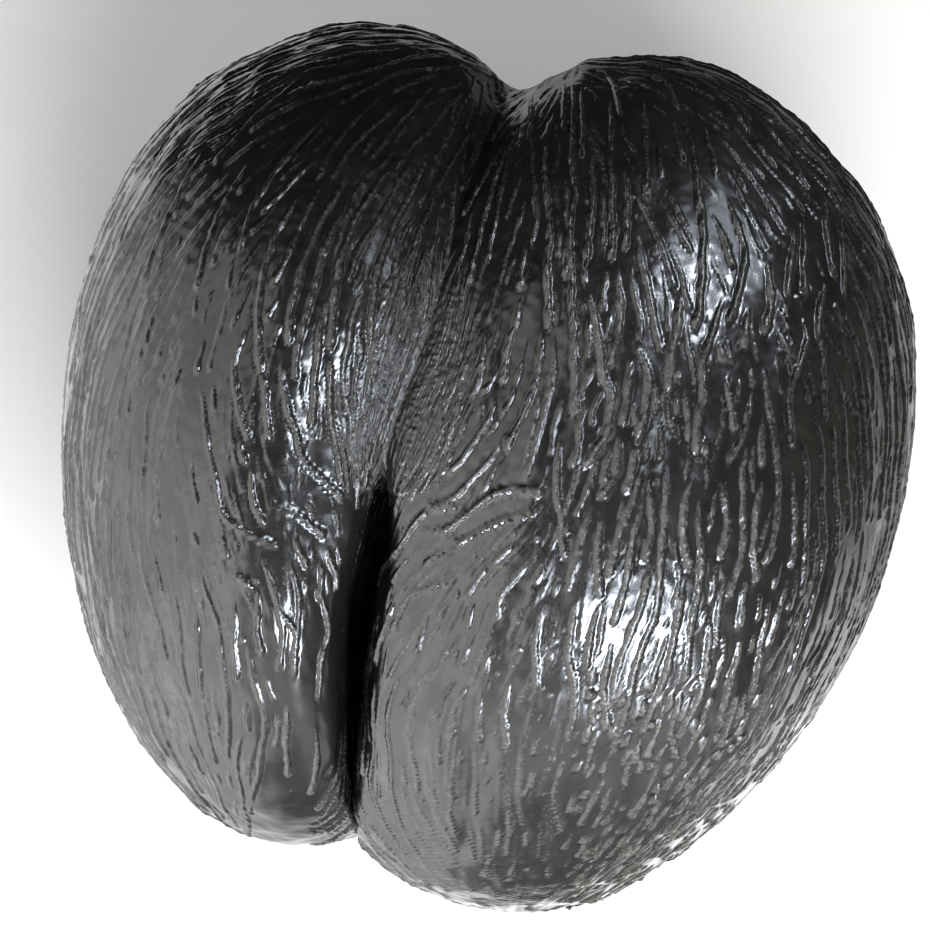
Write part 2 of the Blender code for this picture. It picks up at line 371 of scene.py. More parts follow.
def shell_slopes(theta, phi):
    """How the shell runs for a step of theta and for a step of phi."""
    a = SMALL_ANGLE
    along = (shell_points(theta + a, phi) - shell_points(theta - a, phi)) / (2 * a)
    round_it = (shell_points(theta, phi + a) - shell_points(theta, phi - a)) / (2 * a)
    return along, round_it


def outward(along, round_it):
    """The shell's outward normals, from how it runs."""
    return unit(np.cross(round_it, along))


def every_pair(theta, phi):
    """Each theta with each phi, as two grids."""
    return np.meshgrid(theta, phi, indexing="ij")


def angles_of(heading, along, round_it):
    """The steps of theta and phi that make a step along heading."""
    e = dot(along, along)
    f = dot(along, round_it)
    g = dot(round_it, round_it)
    a = dot(heading, along)
    b = dot(heading, round_it)
    det = e * g - f * f + 1e-18
    return (a * g - b * f) / det, (b * e - a * f) / det


WAVE_MAKER = np.random.default_rng(31)
WAVE_COUNT = 12
WAVE_LENGTHS = WAVE_MAKER.uniform(0.010, 0.028, WAVE_COUNT)
WAVE_TURNS = WAVE_MAKER.uniform(0, 2 * math.pi, WAVE_COUNT)
WAVE_PHASES = WAVE_MAKER.uniform(0, 2 * math.pi, WAVE_COUNT)
WAVE_ALONG = 0.25 * WAVE_MAKER.uniform(-1, 1, WAVE_COUNT)
WAVE_RUNS = np.stack([np.cos(WAVE_TURNS), WAVE_ALONG, np.sin(WAVE_TURNS)], axis=1)
WAVE_RUNS = WAVE_RUNS * (2 * math.pi / WAVE_LENGTHS)[:, None]
WAVE_HEIGHT = 0.00009
FOLD_COUNTS = np.array([29, 37, 43, 53, 61])
FOLD_HEIGHT = 0.00007
FOLD_SWAY = 2.0
FOLD_LEAST = 0.35
FOLD_FULL_TO = 1.3
FOLD_FADE = 0.06


def ripple(points, theta, phi):
    """Low swells of the polished ground, and faint folds that run from notch to tip."""
    swell = np.sin(points @ WAVE_RUNS.T + WAVE_PHASES).sum(axis=-1)
    turn = phi[..., None] * FOLD_COUNTS + FOLD_SWAY * np.sin(theta[..., None] * 2 + FOLD_COUNTS)
    fold = np.sin(turn).sum(axis=-1) * np.sin(theta) ** 2
    flank = np.clip(FOLD_FULL_TO - np.abs(points[..., 2]) / FOLD_FADE, 0, 1)
    flank = FOLD_LEAST + (1 - FOLD_LEAST) * flank
    return WAVE_HEIGHT * swell + FOLD_HEIGHT * fold * flank


def surface(theta, phi, lift=0.0):
    """Points on the rippled shell, raised by lift, in the frame, with the flats kept flat."""
    points = shell_points(theta, phi)
    along, round_it = shell_slopes(theta, phi)
    normals = outward(along, round_it)
    points = points + normals * (ripple(points, theta, phi) + lift)[..., None] + SHIFT
    points[..., 2] = np.maximum(points[..., 2], 0.0)
    return points


# Where the ridges run


def flow(points, normals):
    """The way the ridges run: out of the notch, over the lobes, to the tips and the arch."""
    x, y, z = points[..., 0], points[..., 1], points[..., 2]
    from_notch = np.stack([x - NOTCH_AT[0], y - NOTCH_AT[1]], axis=-1)
    middle = -sway(0 * x, y)
    right = (1 + np.tanh((x - middle) / LOBE_BLEND)) / 2
    tip_x = RIGHT_TIP_AT[0] * right + LEFT_TIP_AT[0] * (1 - right)
    tip_y = RIGHT_TIP_AT[1] * right + LEFT_TIP_AT[1] * (1 - right)
    to_tip = np.stack([tip_x - x, tip_y - y], axis=-1)
    arch_y = np.minimum(ARCH_AT[1], y - ARCH_AHEAD)
    to_arch = np.stack([ARCH_AT[0] - x, arch_y - y], axis=-1)
    size = np.linalg.norm(to_arch, axis=-1)
    lateral = np.abs(x - ARCH_AT[0])
    below = np.exp(-(np.minimum(y - ARCH_AT[1], 0) / ARCH_BELOW) ** 2)
    pull = np.where(z > 0, ARCH_PULL, ARCH_PULL_BEHIND) * np.exp(-(size / ARCH_REACH) ** 2) * below
    pull = pull * np.clip(lateral / ARCH_BESIDE, 0.25, 1)
    run = from_notch / (dot(from_notch, from_notch) + 1e-6)[..., None]
    run = run + to_tip / (dot(to_tip, to_tip) + 1e-6)[..., None]
    run = run + pull[..., None] * to_arch / (size ** 2 + 1e-4)[..., None]
    run = np.concatenate([run, 0 * run[..., :1]], axis=-1)
    flat = unit(run)
    return flat - normals * dot(flat, normals)[..., None]


def sample_shell(count, generator, wanted=None):
    """Places spread over the shell, evenly or by the share that wanted gives each."""
    theta = np.linspace(0.02, math.pi - 0.01, SAMPLE_ROWS)
    phi = np.linspace(0, 2 * math.pi, SAMPLE_COLUMNS, endpoint=False)
    whole_theta, whole_phi = every_pair(theta, phi)
    along, round_it = shell_slopes(whole_theta, whole_phi)
    area = np.linalg.norm(np.cross(along, round_it), axis=-1)
    if wanted is not None:
        area = area * wanted(shell_points(whole_theta, whole_phi))
    chance = (area / area.sum()).reshape(-1)
    picked = generator.choice(len(chance), count, p=chance)
    row, column = np.divmod(picked, SAMPLE_COLUMNS)
    place_theta = theta[row] + generator.uniform(-0.5, 0.5, count) * (theta[1] - theta[0])
    place_phi = phi[column] + generator.uniform(-0.5, 0.5, count) * (phi[1] - phi[0])
    return place_theta, place_phi


def trace(theta, phi, way, steps, meander, generator):
    """Follows the flow from each place, one step after another."""
    count = len(theta)
    theta = theta.copy()
    phi = phi.copy()
    wave = generator.uniform(*SWING_LENGTHS, count)
    phase = generator.uniform(0, 2 * math.pi, count)
    kink = generator.uniform(*KINK_LENGTHS, count)
    swing_size = meander * generator.uniform(0.3, 1.2, count)
    running = np.ones(count, bool)
    thetas, phis, alive = [theta.copy()], [phi.copy()], [running.copy()]
    for step in range(steps):
        along, round_it = shell_slopes(theta, phi)
        normals = outward(along, round_it)
        points = shell_points(theta, phi)
        heading = flow(points, normals)
        strength = np.linalg.norm(heading, axis=-1)
        heading = way * unit(heading)
        walked = way * (step + 1) * STEP
        swing = swing_size * np.sin(2 * math.pi * walked / wave + phase)
        swing = swing + KINK_SHARE * swing_size * np.sin(2 * math.pi * walked / kink + 3 * phase)
        for size, run, start in SHARED_SWINGS:
            swing = swing + size * np.sin(points @ np.array(run) + start)
        aside = np.cross(normals, heading)
        heading = heading * np.cos(swing)[:, None] + aside * np.sin(swing)[:, None]
        theta_run, phi_run = angles_of(heading, along, round_it)
        theta = theta + np.where(running, STEP * theta_run, 0)
        phi = phi + np.where(running, STEP * phi_run, 0)
        inside = (theta > NOTCH_END) & (theta < math.pi - ARCH_END)
        running = running & (strength > LEAST_FLOW) & inside
        thetas.append(theta.copy())
        phis.append(phi.copy())
        alive.append(running.copy())
    return np.array(thetas).T, np.array(phis).T, np.array(alive).T


def trace_both(theta, phi, steps, meander, generator):
    down = trace(theta, phi, 1, steps, meander, generator)
    up = trace(theta, phi, -1, steps, meander, generator)
    return [np.concatenate([u[:, :0:-1], d], axis=1) for u, d in zip(up, down)]


class Crowding:
    """Keeps, for each small cube of space, how near the nearest ridge line is."""

    def __init__(self):
        self.low = np.array(CROWDING_LOW)
        shape = np.ceil((np.array(CROWDING_HIGH) - self.low) / CROWDING_CELL).astype(int)
        self.space = np.full(shape, 1.0, np.float32)
        reach = np.arange(-CROWDING_REACH, CROWDING_REACH + 1)
        grid = np.stack(np.meshgrid(reach, reach, reach, indexing="ij"), axis=-1)
        self.kernel = (np.linalg.norm(grid, axis=-1) * CROWDING_CELL).astype(np.float32)

    def cells(self, points):
        return ((points - self.low) / CROWDING_CELL).astype(int)

    def nearest(self, points):
        cells = self.cells(points)
        return self.space[cells[..., 0], cells[..., 1], cells[..., 2]]

    def add(self, points):
        r = CROWDING_REACH
        for i, j, k in self.cells(points):
            block = self.space[i - r:i + r + 1, j - r:j + r + 1, k - r:k + r + 1]
            np.minimum(block, self.kernel, out=block)


def bell(value, centre, width):
    return np.exp(-((value - centre) / width) ** 2)


def rise(value, start, stop):
    share = np.clip((value - start) / (stop - start), 0, 1)
    return share * share * (3 - 2 * share)


def face_places(points):
    """How far right and up a place lies, seen along the nut's own slant, and if it is in front."""
    x, y, z = points[..., 0], points[..., 1], points[..., 2]
    return 0.98 * x + 0.195 * y, 0.98 * y - 0.195 * x, rise(z, 0.0, 0.03)


def fibre_share(points):
    """1 in the fibrous strip that runs down the valley into the crotch, 0 away from it."""
    across, up, front = face_places(points)
    centre = -0.008 + 0.20 * (up - 0.03)
    width = 0.0105 + 0.0035 * bell(up, 0.045, 0.020)
    share = np.exp(-np.abs((across - centre) / width) ** 2.6)
    return share * front * rise(up, 0.008, 0.022) * rise(up, 0.095, 0.036)


def cleft_share(points):
    """1 inside the cleft."""
    x, y = points[..., 0], points[..., 1]
    beside = np.abs(x + 0.020 - 0.12 * (y + 0.04))
    return rise(beside, 0.0105, 0.0070) * rise(y, 0.006, -0.004)


def bare_share(points):
    """1 on the smooth flank of the left lobe."""
    across, up, front = face_places(points)
    return front * bell(across, -0.070, 0.026) * bell(up, 0.010, 0.055)


def calm_share(points):
    """1 on the smooth slope of the right lobe beside the cleft."""
    across, up, front = face_places(points)
    return front * rise(across, -0.012, -0.006) * rise(across, 0.052, 0.040) * rise(up, 0.016, 0.006)


def knobbly_share(points):
    """1 on the knobbly foot of the right lobe."""
    across, up, _ = face_places(points)
    place = rise(across, 0.015, 0.035) * rise(up + 0.25 * (across - 0.060), -0.036, -0.050)
    return rise(points[..., 2], -0.01, 0.02) * place


def restless_share(points):
    """1 on the restless patch of the left lobe beside the crotch."""
    across, up, front = face_places(points)
    return front * bell(across, -0.036, 0.020) * bell(up, 0.018, 0.026)


def ground_shares(points):
    return [share(points) for share in (bare_share, calm_share, knobbly_share, restless_share)]


def busy_share(points):
    """How thickly the short ridges are strewn."""
    busy = 1 - 0.4 * bare_share(points) - 0.3 * calm_share(points)
    return busy + 0.8 * knobbly_share(points)


def closed_ground(points):
    """Whether a place is kept free of drawn ridges: the fibres' strip and the cleft."""
    return (fibre_share(points) > 0.5) | (cleft_share(points) > 0.5)


def long_plan(points):
    """Spacing, half width and greatest length of the long ridges."""
    across, up, front = face_places(points)
    bare, calm, knobbly, restless = ground_shares(points)
    spacing = 0.0046 - 0.0006 * rise(up, 0.110, 0.140) - 0.0009 * rise(across, 0.115, 0.135) * front
    spacing = spacing - 0.0010 * rise(across, -0.080, -0.100) * front
    spacing = spacing + 0.0030 * bare + 0.0026 * calm - 0.0013 * knobbly
    half_width = 0.00095 + 0.00028 * bell(across, 0.080, 0.040) * bell(up, 0.040, 0.060) * front
    half_width = half_width - 0.0001 * bare - 0.0002 * calm - 0.0001 * rise(up, 0.10, 0.14)
    length = 0.130 - 0.112 * bare - 0.108 * calm - 0.105 * knobbly - 0.100 * restless
    length = length - 0.045 * bell(across, 0.085, 0.040) * bell(up, 0.020, 0.050) * front
    spacing = np.where(closed_ground(points), -1, spacing)
    return spacing, half_width, np.maximum(length, 0.010)


def short_plan(points):
    """The same for short thin ridges that fill in between."""
    bare, calm, knobbly, restless = ground_shares(points)
    spacing = 0.0026 + 0.0026 * bare + 0.0018 * calm - 0.0008 * knobbly
    half_width = 0.00075 + 0.00025 * knobbly
    length = 0.026 - 0.016 * bare - 0.017 * calm - 0.019 * knobbly - 0.012 * restless
    spacing = np.where(closed_ground(points), -1, spacing)
    return spacing, half_width, length


def ridge_tone_and_painted_shade(points):
    """How pale the ridges are: worn crests, palest in the middle of the right lobe; painted shade makes
    them dark at the top, which faces away from the light, and darker on the right flank, which the key
    lights; also darker on the left lobe and the smooth slopes, paler on the knobbly foot.
    """
    across, up, _ = face_places(points)
    # Painted shade: darker at the top and on the right flank, laid over the worn crests' paleness
    shade = 0.40 - 0.20 * rise(up, 0.070, 0.120) - 0.34 * rise(across, 0.105, 0.130)
    shade = shade - 0.12 * bare_share(points) - 0.12 * calm_share(points)
    return np.clip(shade + 0.20 * knobbly_share(points) - 0.15 * rise(-across, 0.02, 0.06), 0.18, 1)


# How near two ridges may run, as a share of their spacing, and how long each is of its greatest length
NEAREST_SHARE = 0.6
LENGTH_SHARES = (0.30, 1.0)


def clear_run(clear, middle, reach):
    """The first and last step of the clear run round the middle, at most reach each way."""
    first = last = middle
    while last < min(middle + reach, len(clear) - 1) and clear[last + 1]:
        last += 1
    while first > max(middle - reach, 0) and clear[first - 1]:
        first -= 1
    return first, last


def pick_lines(places, steps, meander, plan, crowding, generator, least):
    """Keeps the traced lines, or the parts of them, that keep their distance from one another."""
    theta, phi, alive = trace_both(places[0], places[1], steps, meander, generator)
    points = shell_points(theta, phi)
    spacing, half_width, length = plan(points)
    kept = []
    share = generator.uniform(*LENGTH_SHARES, len(theta))
    for line in range(len(theta)):
        if spacing[line, steps] <= 0:
            continue
        if crowding.nearest(points[line, steps]) < spacing[line, steps]:
            continue
        free = crowding.nearest(points[line])
        reach = int(length[line, steps] * share[line] / STEP / 2) + 1
        clear = alive[line] & (free > NEAREST_SHARE * spacing[line]) & (spacing[line] > 0)
        first, last = clear_run(clear, steps, reach)
        if (last - first) * STEP < least:
            continue
        part = slice(first, last + 1)
        crowding.add(points[line, part])
        kept.append((theta[line, part], phi[line, part], half_width[line, part]))
    return kept


LINK_RUN = (8, 17)
LINK_GAP = (0.0025, 0.0080)
LINK_WIDTH = 0.75
MOST_QUIET = 0.3


def join_lines(lines, generator, count):
    """Slanting links from one ridge to its neighbour, so that the ridges branch and meet."""
    places = [shell_points(theta, phi) for theta, phi, _ in lines]
    owner = np.concatenate([np.full(len(p), i) for i, p in enumerate(places)])
    index = np.concatenate([np.arange(len(p)) for p in places])
    every = np.concatenate(places)
    quiet = bare_share(every) + calm_share(every)
    links = []
    weight = 1 + 3 * knobbly_share(every)
    for pick in generator.choice(len(every), count * 3, replace=False, p=weight / weight.sum()):
        if len(links) >= count:
            break
        line, at = owner[pick], index[pick]
        run = int(generator.integers(*LINK_RUN))
        if at + run >= len(lines[line][0]) or quiet[pick] > MOST_QUIET:
            continue
        gap = np.linalg.norm(every - every[pick], axis=1)
        near = np.where((gap < LINK_GAP[1]) & (gap > LINK_GAP[0]) & (owner != line))[0]
        if not len(near):
            continue
        other = near[np.argmin(gap[near])]
        mate, mate_at = owner[other], index[other]
        if mate_at + run >= len(lines[mate][0]):
            continue
        turn = round((lines[line][1][at] - lines[mate][1][mate_at]) / (2 * math.pi)) * 2 * math.pi
        blend = rise(np.arange(run + 1), 0, run)
        mine = slice(at, at + run + 1)
        theirs = slice(mate_at, mate_at + run + 1)
        theta = lines[line][0][mine] * (1 - blend) + lines[mate][0][theirs] * blend
        phi = lines[line][1][mine] * (1 - blend) + (lines[mate][1][theirs] + turn) * blend
        links.append((theta, phi, LINK_WIDTH * lines[line][2][mine]))
    return links


# Ridges drawn along listed points

FRONT_EDGE = 0.05
FRONT_PLACES = 260
ROUNDS = 6
LONGEST_STEP = 0.02
CURVE_POINTS = 12
TREMBLE = 0.00022
TREMBLE_LENGTHS = (0.0018, 0.0030)
# The small open loop where a ridge ends: its length, how far it hangs, its width and its wall
EYE_LENGTH = 0.0021
EYE_DROP = 0.0010
EYE_WIDTH = 0.0008
EYE_WALL = 0.00038


def front_angles(x, y):
    """Theta and phi of the front's points with these x and y."""
    turns = np.linspace(FRONT_EDGE, math.pi - FRONT_EDGE, FRONT_PLACES)
    whole_theta, whole_phi = [grid.reshape(-1) for grid in every_pair(turns, turns)]
    known = shell_points(whole_theta, whole_phi)
    near = [np.argmin((known[:, 0] - a) ** 2 + (known[:, 1] - b) ** 2) for a, b in zip(x, y)]
    theta = whole_theta[near]
    phi = whole_phi[near]
    for _ in range(ROUNDS):
        points = shell_points(theta, phi)
        along, round_it = shell_slopes(theta, phi)
        det = along[:, 0] * round_it[:, 1] - along[:, 1] * round_it[:, 0]
        miss_x = x - points[:, 0]
        miss_y = y - points[:, 1]
        theta_step = (miss_x * round_it[:, 1] - miss_y * round_it[:, 0]) / det
        phi_step = (along[:, 0] * miss_y - along[:, 1] * miss_x) / det
        theta = theta + np.clip(theta_step, -LONGEST_STEP, LONGEST_STEP)
        phi = phi + np.clip(phi_step, -LONGEST_STEP, LONGEST_STEP)
    return theta, phi


def soft_curve(stops, generator):
    """Evenly stepped points on a smooth curve through the stops, with a slight tremble."""
    stops = np.array(stops) / 1000
    stops = np.concatenate([[2 * stops[0] - stops[1]], stops, [2 * stops[-1] - stops[-2]]])
    path = []
    for a, b, c, d in zip(stops[:-3], stops[1:-2], stops[2:-1], stops[3:]):
        t = np.linspace(0, 1, CURVE_POINTS, endpoint=False)[:, None]
        curve = 2 * b + (c - a) * t + (2 * a - 5 * b + 4 * c - d) * t ** 2
        path.append((curve + (3 * b - a - 3 * c + d) * t ** 3) / 2)
    path = np.concatenate(path + [stops[-2:-1]])
    walked = np.append(0, np.cumsum(np.linalg.norm(np.diff(path, axis=0), axis=1)))
    even = np.linspace(0, walked[-1], max(int(walked[-1] / STEP) + 1, 4))
    x = np.interp(even, walked, path[:, 0])
    y = np.interp(even, walked, path[:, 1])
    turns = even / generator.uniform(*TREMBLE_LENGTHS) + generator.uniform(0, 6)
    return x + TREMBLE * np.sin(turns), y


def key_lines(crowding, generator):
    lines = []
    curves = [soft_curve(stops, generator) for stops in KEY_RIDGES]
    lengths = np.cumsum([0] + [len(x) for x, _ in curves])
    theta, phi = front_angles(*[np.concatenate(values) for values in zip(*curves)])
    for start, stop in zip(lengths[:-1], lengths[1:]):
        line_theta = theta[start:stop]
        line_phi = phi[start:stop]
        points = shell_points(line_theta, line_phi)
        half_width = long_plan(points)[1]
        half_width = np.minimum(half_width * 1.05, 0.10 * len(line_theta) * STEP)
        crowding.add(points)
        lines.append((line_theta, line_phi, half_width))
    return lines


def needle_eye(line):
    """A small open loop at the lower end of a ridge."""
    theta, phi, _ = line
    along, round_it = shell_slopes(theta[-2:], phi[-2:])
    points = shell_points(theta[-2:], phi[-2:])
    down = unit(points[1] - points[0])
    aside = unit(np.cross(np.cross(round_it[1], along[1]), down))
    turn = np.linspace(0, 2 * math.pi, 15)
    long_way = EYE_LENGTH * np.cos(turn) + EYE_DROP
    short_way = EYE_WIDTH * np.sin(turn)
    headings = down * long_way[:, None] + aside * short_way[:, None]
    theta_run, phi_run = angles_of(headings, along[1], round_it[1])
    return theta[-1] + theta_run, phi[-1] + phi_run, np.full(len(turn), EYE_WALL)


# One ridge's own shape

CROWN_POWER = 2.2
LUMP_LENGTHS = (0.0012, 0.0030)
GRAIN_LENGTHS = (0.0006, 0.0012)
LEAD_LENGTHS = (0.004, 0.014)
LEAD_POWER = 0.6


def smoothed(values, rounds):
    for _ in range(rounds):
        inner = (values[:-2] + 2 * values[1:-1] + values[2:]) / 4
        values = np.concatenate([values[:1], inner, values[-1:]])
    return values


def rib(line, height, generator, drip=0.3, lumpy=0.14, closed_ends=True):
    """One ridge's course, width and height, step by step."""
    theta, phi, half_width = line
    theta = smoothed(theta, 1)
    phi = smoothed(phi, 1)
    walked = np.arange(len(theta)) * STEP
    left_over = walked[-1] - walked
    lump = np.sin(walked / generator.uniform(*LUMP_LENGTHS) + generator.uniform(0, 6))
    grain = np.sin(walked / generator.uniform(*GRAIN_LENGTHS) + generator.uniform(0, 6))
    lumps = 1 + lumpy * lump + 0.6 * lumpy * grain
    lead = min(generator.uniform(*LEAD_LENGTHS), 0.40 * walked[-1])
    start = np.clip(walked / lead, 0, 1) ** LEAD_POWER
    cap = min(1.6 * half_width.mean(), 0.5 * walked[-1])
    end = np.sqrt(np.clip(1 - (1 - np.clip(left_over / cap, 0, 1)) ** 2, 0, 1))
    bulb = 1 + drip * np.exp(-((left_over - cap) / (1.6 * cap)) ** 2)
    if not closed_ends:
        start = end = bulb = np.ones(len(theta))
    width = half_width * lumps * (0.3 + 0.7 * start) * np.maximum(end, 0.10) * bulb
    lift = height * np.sqrt(lumps) * start * np.maximum(end, 0.02) * np.sqrt(bulb)
    return theta, phi, width, lift


def waves(points, seed, shortest, longest, count=10):
    """A soft random unevenness over the nut, about 1 high."""
    maker = np.random.default_rng(seed)
    ways = unit(maker.normal(size=(count, 3)))
    lengths = maker.uniform(shortest, longest, count)
    phases = maker.uniform(0, 2 * math.pi, count)
    turns = points @ (ways * (2 * math.pi / lengths)[:, None]).T + phases
    return np.sin(turns).sum(axis=-1) * math.sqrt(2 / count)


# The skin as a grid: rows from the notch to the arch, columns round the nut, finer in front
ROWS = 360
FRONT_PARTS = 4
BACK_PARTS = 2
FRONT_COLUMNS = 208
BACK_COLUMNS = 190
SKIN_FACES = (("front", FRONT_PARTS, FRONT_COLUMNS), ("back", BACK_PARTS, BACK_COLUMNS))
ROW_GUIDES = (0.0, 0.25 * math.pi, 0.5 * math.pi, 0.75 * math.pi, math.pi)
COLUMN_GUIDES = (1.1, 1.57, 2.1)
MARGIN = 64
MOST_ROWS = 26
POLE_FROM = 0.03
POLE_TO = 0.09
EDGE_WOBBLE = 0.13
CROWN_WOBBLE = 0.16
CROWN_FULLNESS = 1.4
PRESS_REACH = 1.7
PRESS_MARGIN = 0.0002
FULL_LIFT = 0.0002
GROOVE_AT = 1.15
GROOVE_WIDTH = 0.30
GROOVE_DEPTH = 0.20
FINE_HEIGHT = 0.00004
# Seed, shortest and longest wave of the unevenness of the ridges' edges, their crowns and the ground
EDGE_WAVES = (3, 0.0018, 0.0045)
CROWN_WAVES = (8, 0.0016, 0.0040)
FINE_WAVES = (9, 0.0022, 0.0060)
FIELD_TYPES = {"FLOAT": np.float32, "INT": np.int32}


def walked_along(points):
    return np.append(0, np.cumsum(np.linalg.norm(np.diff(points, axis=0), axis=1)))


def even_steps(values, walked, count):
    return np.interp(np.linspace(0, walked[-1], count + 1), walked, values)


def skin_rows():
    fine = np.linspace(0, math.pi, 4000)
    walked = sum(walked_along(shell_points(fine, 0 * fine + turn)) for turn in ROW_GUIDES)
    steps = np.diff(walked) * (1 - 0.5 * rise(fine[1:], math.pi - 0.18, math.pi - 0.10))
    return even_steps(fine, np.append(0, np.cumsum(steps)), ROWS)


def skin_columns():
    halves = []
    for start, (_, parts, columns) in zip((0.0, math.pi), SKIN_FACES):
        fine = np.linspace(start, start + math.pi, 3000)
        girth = sum(walked_along(shell_points(0 * fine + ring, fine)) for ring in COLUMN_GUIDES)
        halves.append(even_steps(fine, girth, parts * columns)[:-1])
    return np.concatenate(halves)


class Relief:
    """Heights over the skin's grid, pressed into it ridge by ridge."""

    def __init__(self):
        self.theta = skin_rows()
        self.phi = skin_columns()
        self.count = len(self.phi)
        self.wrapped = np.arange(-MARGIN, self.count + MARGIN) % self.count
        smooth = shell_points(*every_pair(self.theta, self.phi))
        self.points = smooth[:, self.wrapped]
        down = np.linalg.norm(np.gradient(self.points, axis=0), axis=-1)
        beside = np.linalg.norm(np.gradient(self.points, axis=1), axis=-1)
        self.row_share = 1 / np.maximum(down, 1e-5)
        self.column_share = 1 / np.maximum(beside, 1e-5)
        self.wobble = 1 + EDGE_WOBBLE * waves(self.points, *EDGE_WAVES)
        self.ridge = np.zeros(self.points.shape[:2])
        self.crest = np.zeros(self.points.shape[:2])
        self.groove = np.zeros(self.points.shape[:2])

    def press(self, line, shade):
        """Raises one ridge, with a shallow groove at its foot."""
        theta, phi, width, lift = line
        stations = shell_points(theta, phi)
        row = np.rint(np.interp(theta, self.theta, np.arange(len(self.theta)))).astype(int)
        turn = np.append(self.phi, 2 * math.pi)
        column = np.rint(np.interp(phi % (2 * math.pi), turn, np.arange(len(turn)))).astype(int)
        column = column + MARGIN
        reach = PRESS_REACH * width + PRESS_MARGIN
        down = np.minimum(reach * self.row_share[row, column] + 3, MOST_ROWS).astype(int)
        beside = np.minimum(reach * self.column_share[row, column] + 3, MARGIN - 1).astype(int)
        for k in range(len(theta) - 1):
            window = (
                slice(max(row[k] - down[k], 0), row[k] + down[k] + 1),
                slice(column[k] - beside[k], column[k] + beside[k] + 1),
            )
            away = self.points[window] - stations[k]
            step = stations[k + 1] - stations[k]
            share = np.clip(away @ step / (step @ step + 1e-12), 0, 1)
            away = away - share[..., None] * step
            here = width[k] + share * (width[k + 1] - width[k])
            high = lift[k] + share * (lift[k + 1] - lift[k])
            place = np.sqrt((away * away).sum(axis=-1)) / here * self.wobble[window]
            crown = np.clip(1 - place ** CROWN_POWER, 0, 1)
            np.maximum(self.ridge[window], high * crown ** CROWN_FULLNESS, out=self.ridge[window])
            # Paleness of the worn crown, scaled by the shade given, which for drawn ridges carries
            # painted shade from the tone plan
            pale = shade * np.sqrt(crown) * np.minimum(high / FULL_LIFT, 1)
            np.maximum(self.crest[window], pale, out=self.crest[window])
            foot = high * np.exp(-((place - GROOVE_AT) / GROOVE_WIDTH) ** 2)
            np.maximum(self.groove[window], foot, out=self.groove[window])

    def folded(self, values):
        """The field on the plain columns, with what the margins hold folded back in."""
        plain = values[:, MARGIN:MARGIN + self.count].copy()
        plain[:, -MARGIN:] = np.maximum(plain[:, -MARGIN:], values[:, :MARGIN])
        plain[:, :MARGIN] = np.maximum(plain[:, :MARGIN], values[:, -MARGIN:])
        return plain

    def finish(self):
        """The skin's points, their outward normals and how far each is crest, a paleness that holds worn
        crests and painted shade.
        """
        theta, phi = every_pair(self.theta, self.phi)
        plain = self.points[:, MARGIN:MARGIN + self.count]
        ridge = self.folded(self.ridge)
        crest = self.folded(self.crest)
        groove = self.folded(self.groove) * (1 - np.clip(ridge / FULL_LIFT, 0, 1))
        lift = ridge * (1 + CROWN_WOBBLE * waves(plain, *CROWN_WAVES)) - GROOVE_DEPTH * groove
        lift = lift + FINE_HEIGHT * waves(plain, *FINE_WAVES)
        poles = rise(theta, POLE_FROM, POLE_TO) * rise(theta, math.pi - 0.002, math.pi - 0.02)
        points = surface(theta, phi, lift * poles)
        wide = points[:, self.wrapped[MARGIN - 1:MARGIN + self.count + 1]]
        beside = wide[:, 2:] - wide[:, :-2]
        down = np.gradient(points, axis=0)
        normals = unit(np.cross(beside, down))
        for pole, near in ((0, 1), (-1, -2)):
            normals[pole] = unit(normals[near].mean(axis=0))
        return points, normals, crest, plain


def store_field(mesh, name, kind, values):
    field = mesh.attributes.new(name, kind, "POINT")
    field.data.foreach_set("value", values.reshape(-1).astype(FIELD_TYPES[kind]))


def skin_part(name, first, count, points, normals, values, material):
    """One part of the skin, from column first on: a flat grid laid over the nut."""
    bpy.ops.object.select_all(action="DESELECT")
    bpy.ops.mesh.primitive_grid_add(x_subdivisions=count, y_subdivisions=ROWS, size=2.0)
    part = bpy.context.object
    part.name = name
    mesh = part.data
    flat = np.empty(len(mesh.vertices) * 3, np.float32)
    mesh.vertices.foreach_get("co", flat)
    flat = flat.reshape(-1, 3)
    column = (np.rint((flat[:, 0] + 1) / 2 * count).astype(int) + first) % points.shape[1]
    row = np.rint((flat[:, 1] + 1) / 2 * ROWS).astype(int)
    mesh.vertices.foreach_set("co", points[row, column].astype(np.float32).reshape(-1))
    for key, value in values.items():
        store_field(mesh, key, "FLOAT", value[row, column])
    store_field(mesh, "row", "INT", row)
    store_field(mesh, "column", "INT", column)
    bpy.ops.object.mode_set(mode="EDIT")
    bpy.ops.mesh.select_all(action="SELECT")
    bpy.ops.mesh.remove_doubles(threshold=0.000001)
    bpy.ops.object.mode_set(mode="OBJECT")
    bpy.ops.object.shade_smooth()
    kept = {}
    for key in ("row", "column"):
        kept[key] = np.empty(len(mesh.vertices), np.int32)
        mesh.attributes[key].data.foreach_get("value", kept[key])
        mesh.attributes.remove(mesh.attributes[key])
    mesh.normals_split_custom_set_from_vertices(normals[kept["row"], kept["column"]].tolist())
    while mesh.uv_layers:
        mesh.uv_layers.remove(mesh.uv_layers[0])
    dress(part, material)


def make_skin(relief, material):
    points, normals, crest, plain = relief.finish()
    values = {"crest": crest, "fibres": fibre_share(plain)}
    first = 0
    for face, parts, columns in SKIN_FACES:
        for number in range(parts):
            name = f"skin_{face}_{number + 1}"
            skin_part(name, first, columns, points, normals, values, material)
            first += columns


# Fibres and needle eyes as closed, rounded bars that lie in the shell

ACROSS = np.array([-1.0, -0.4, 0.4, 1.0])
CROWN = 1 - np.abs(ACROSS) ** CROWN_POWER
FOOT_SINK = 0.00012


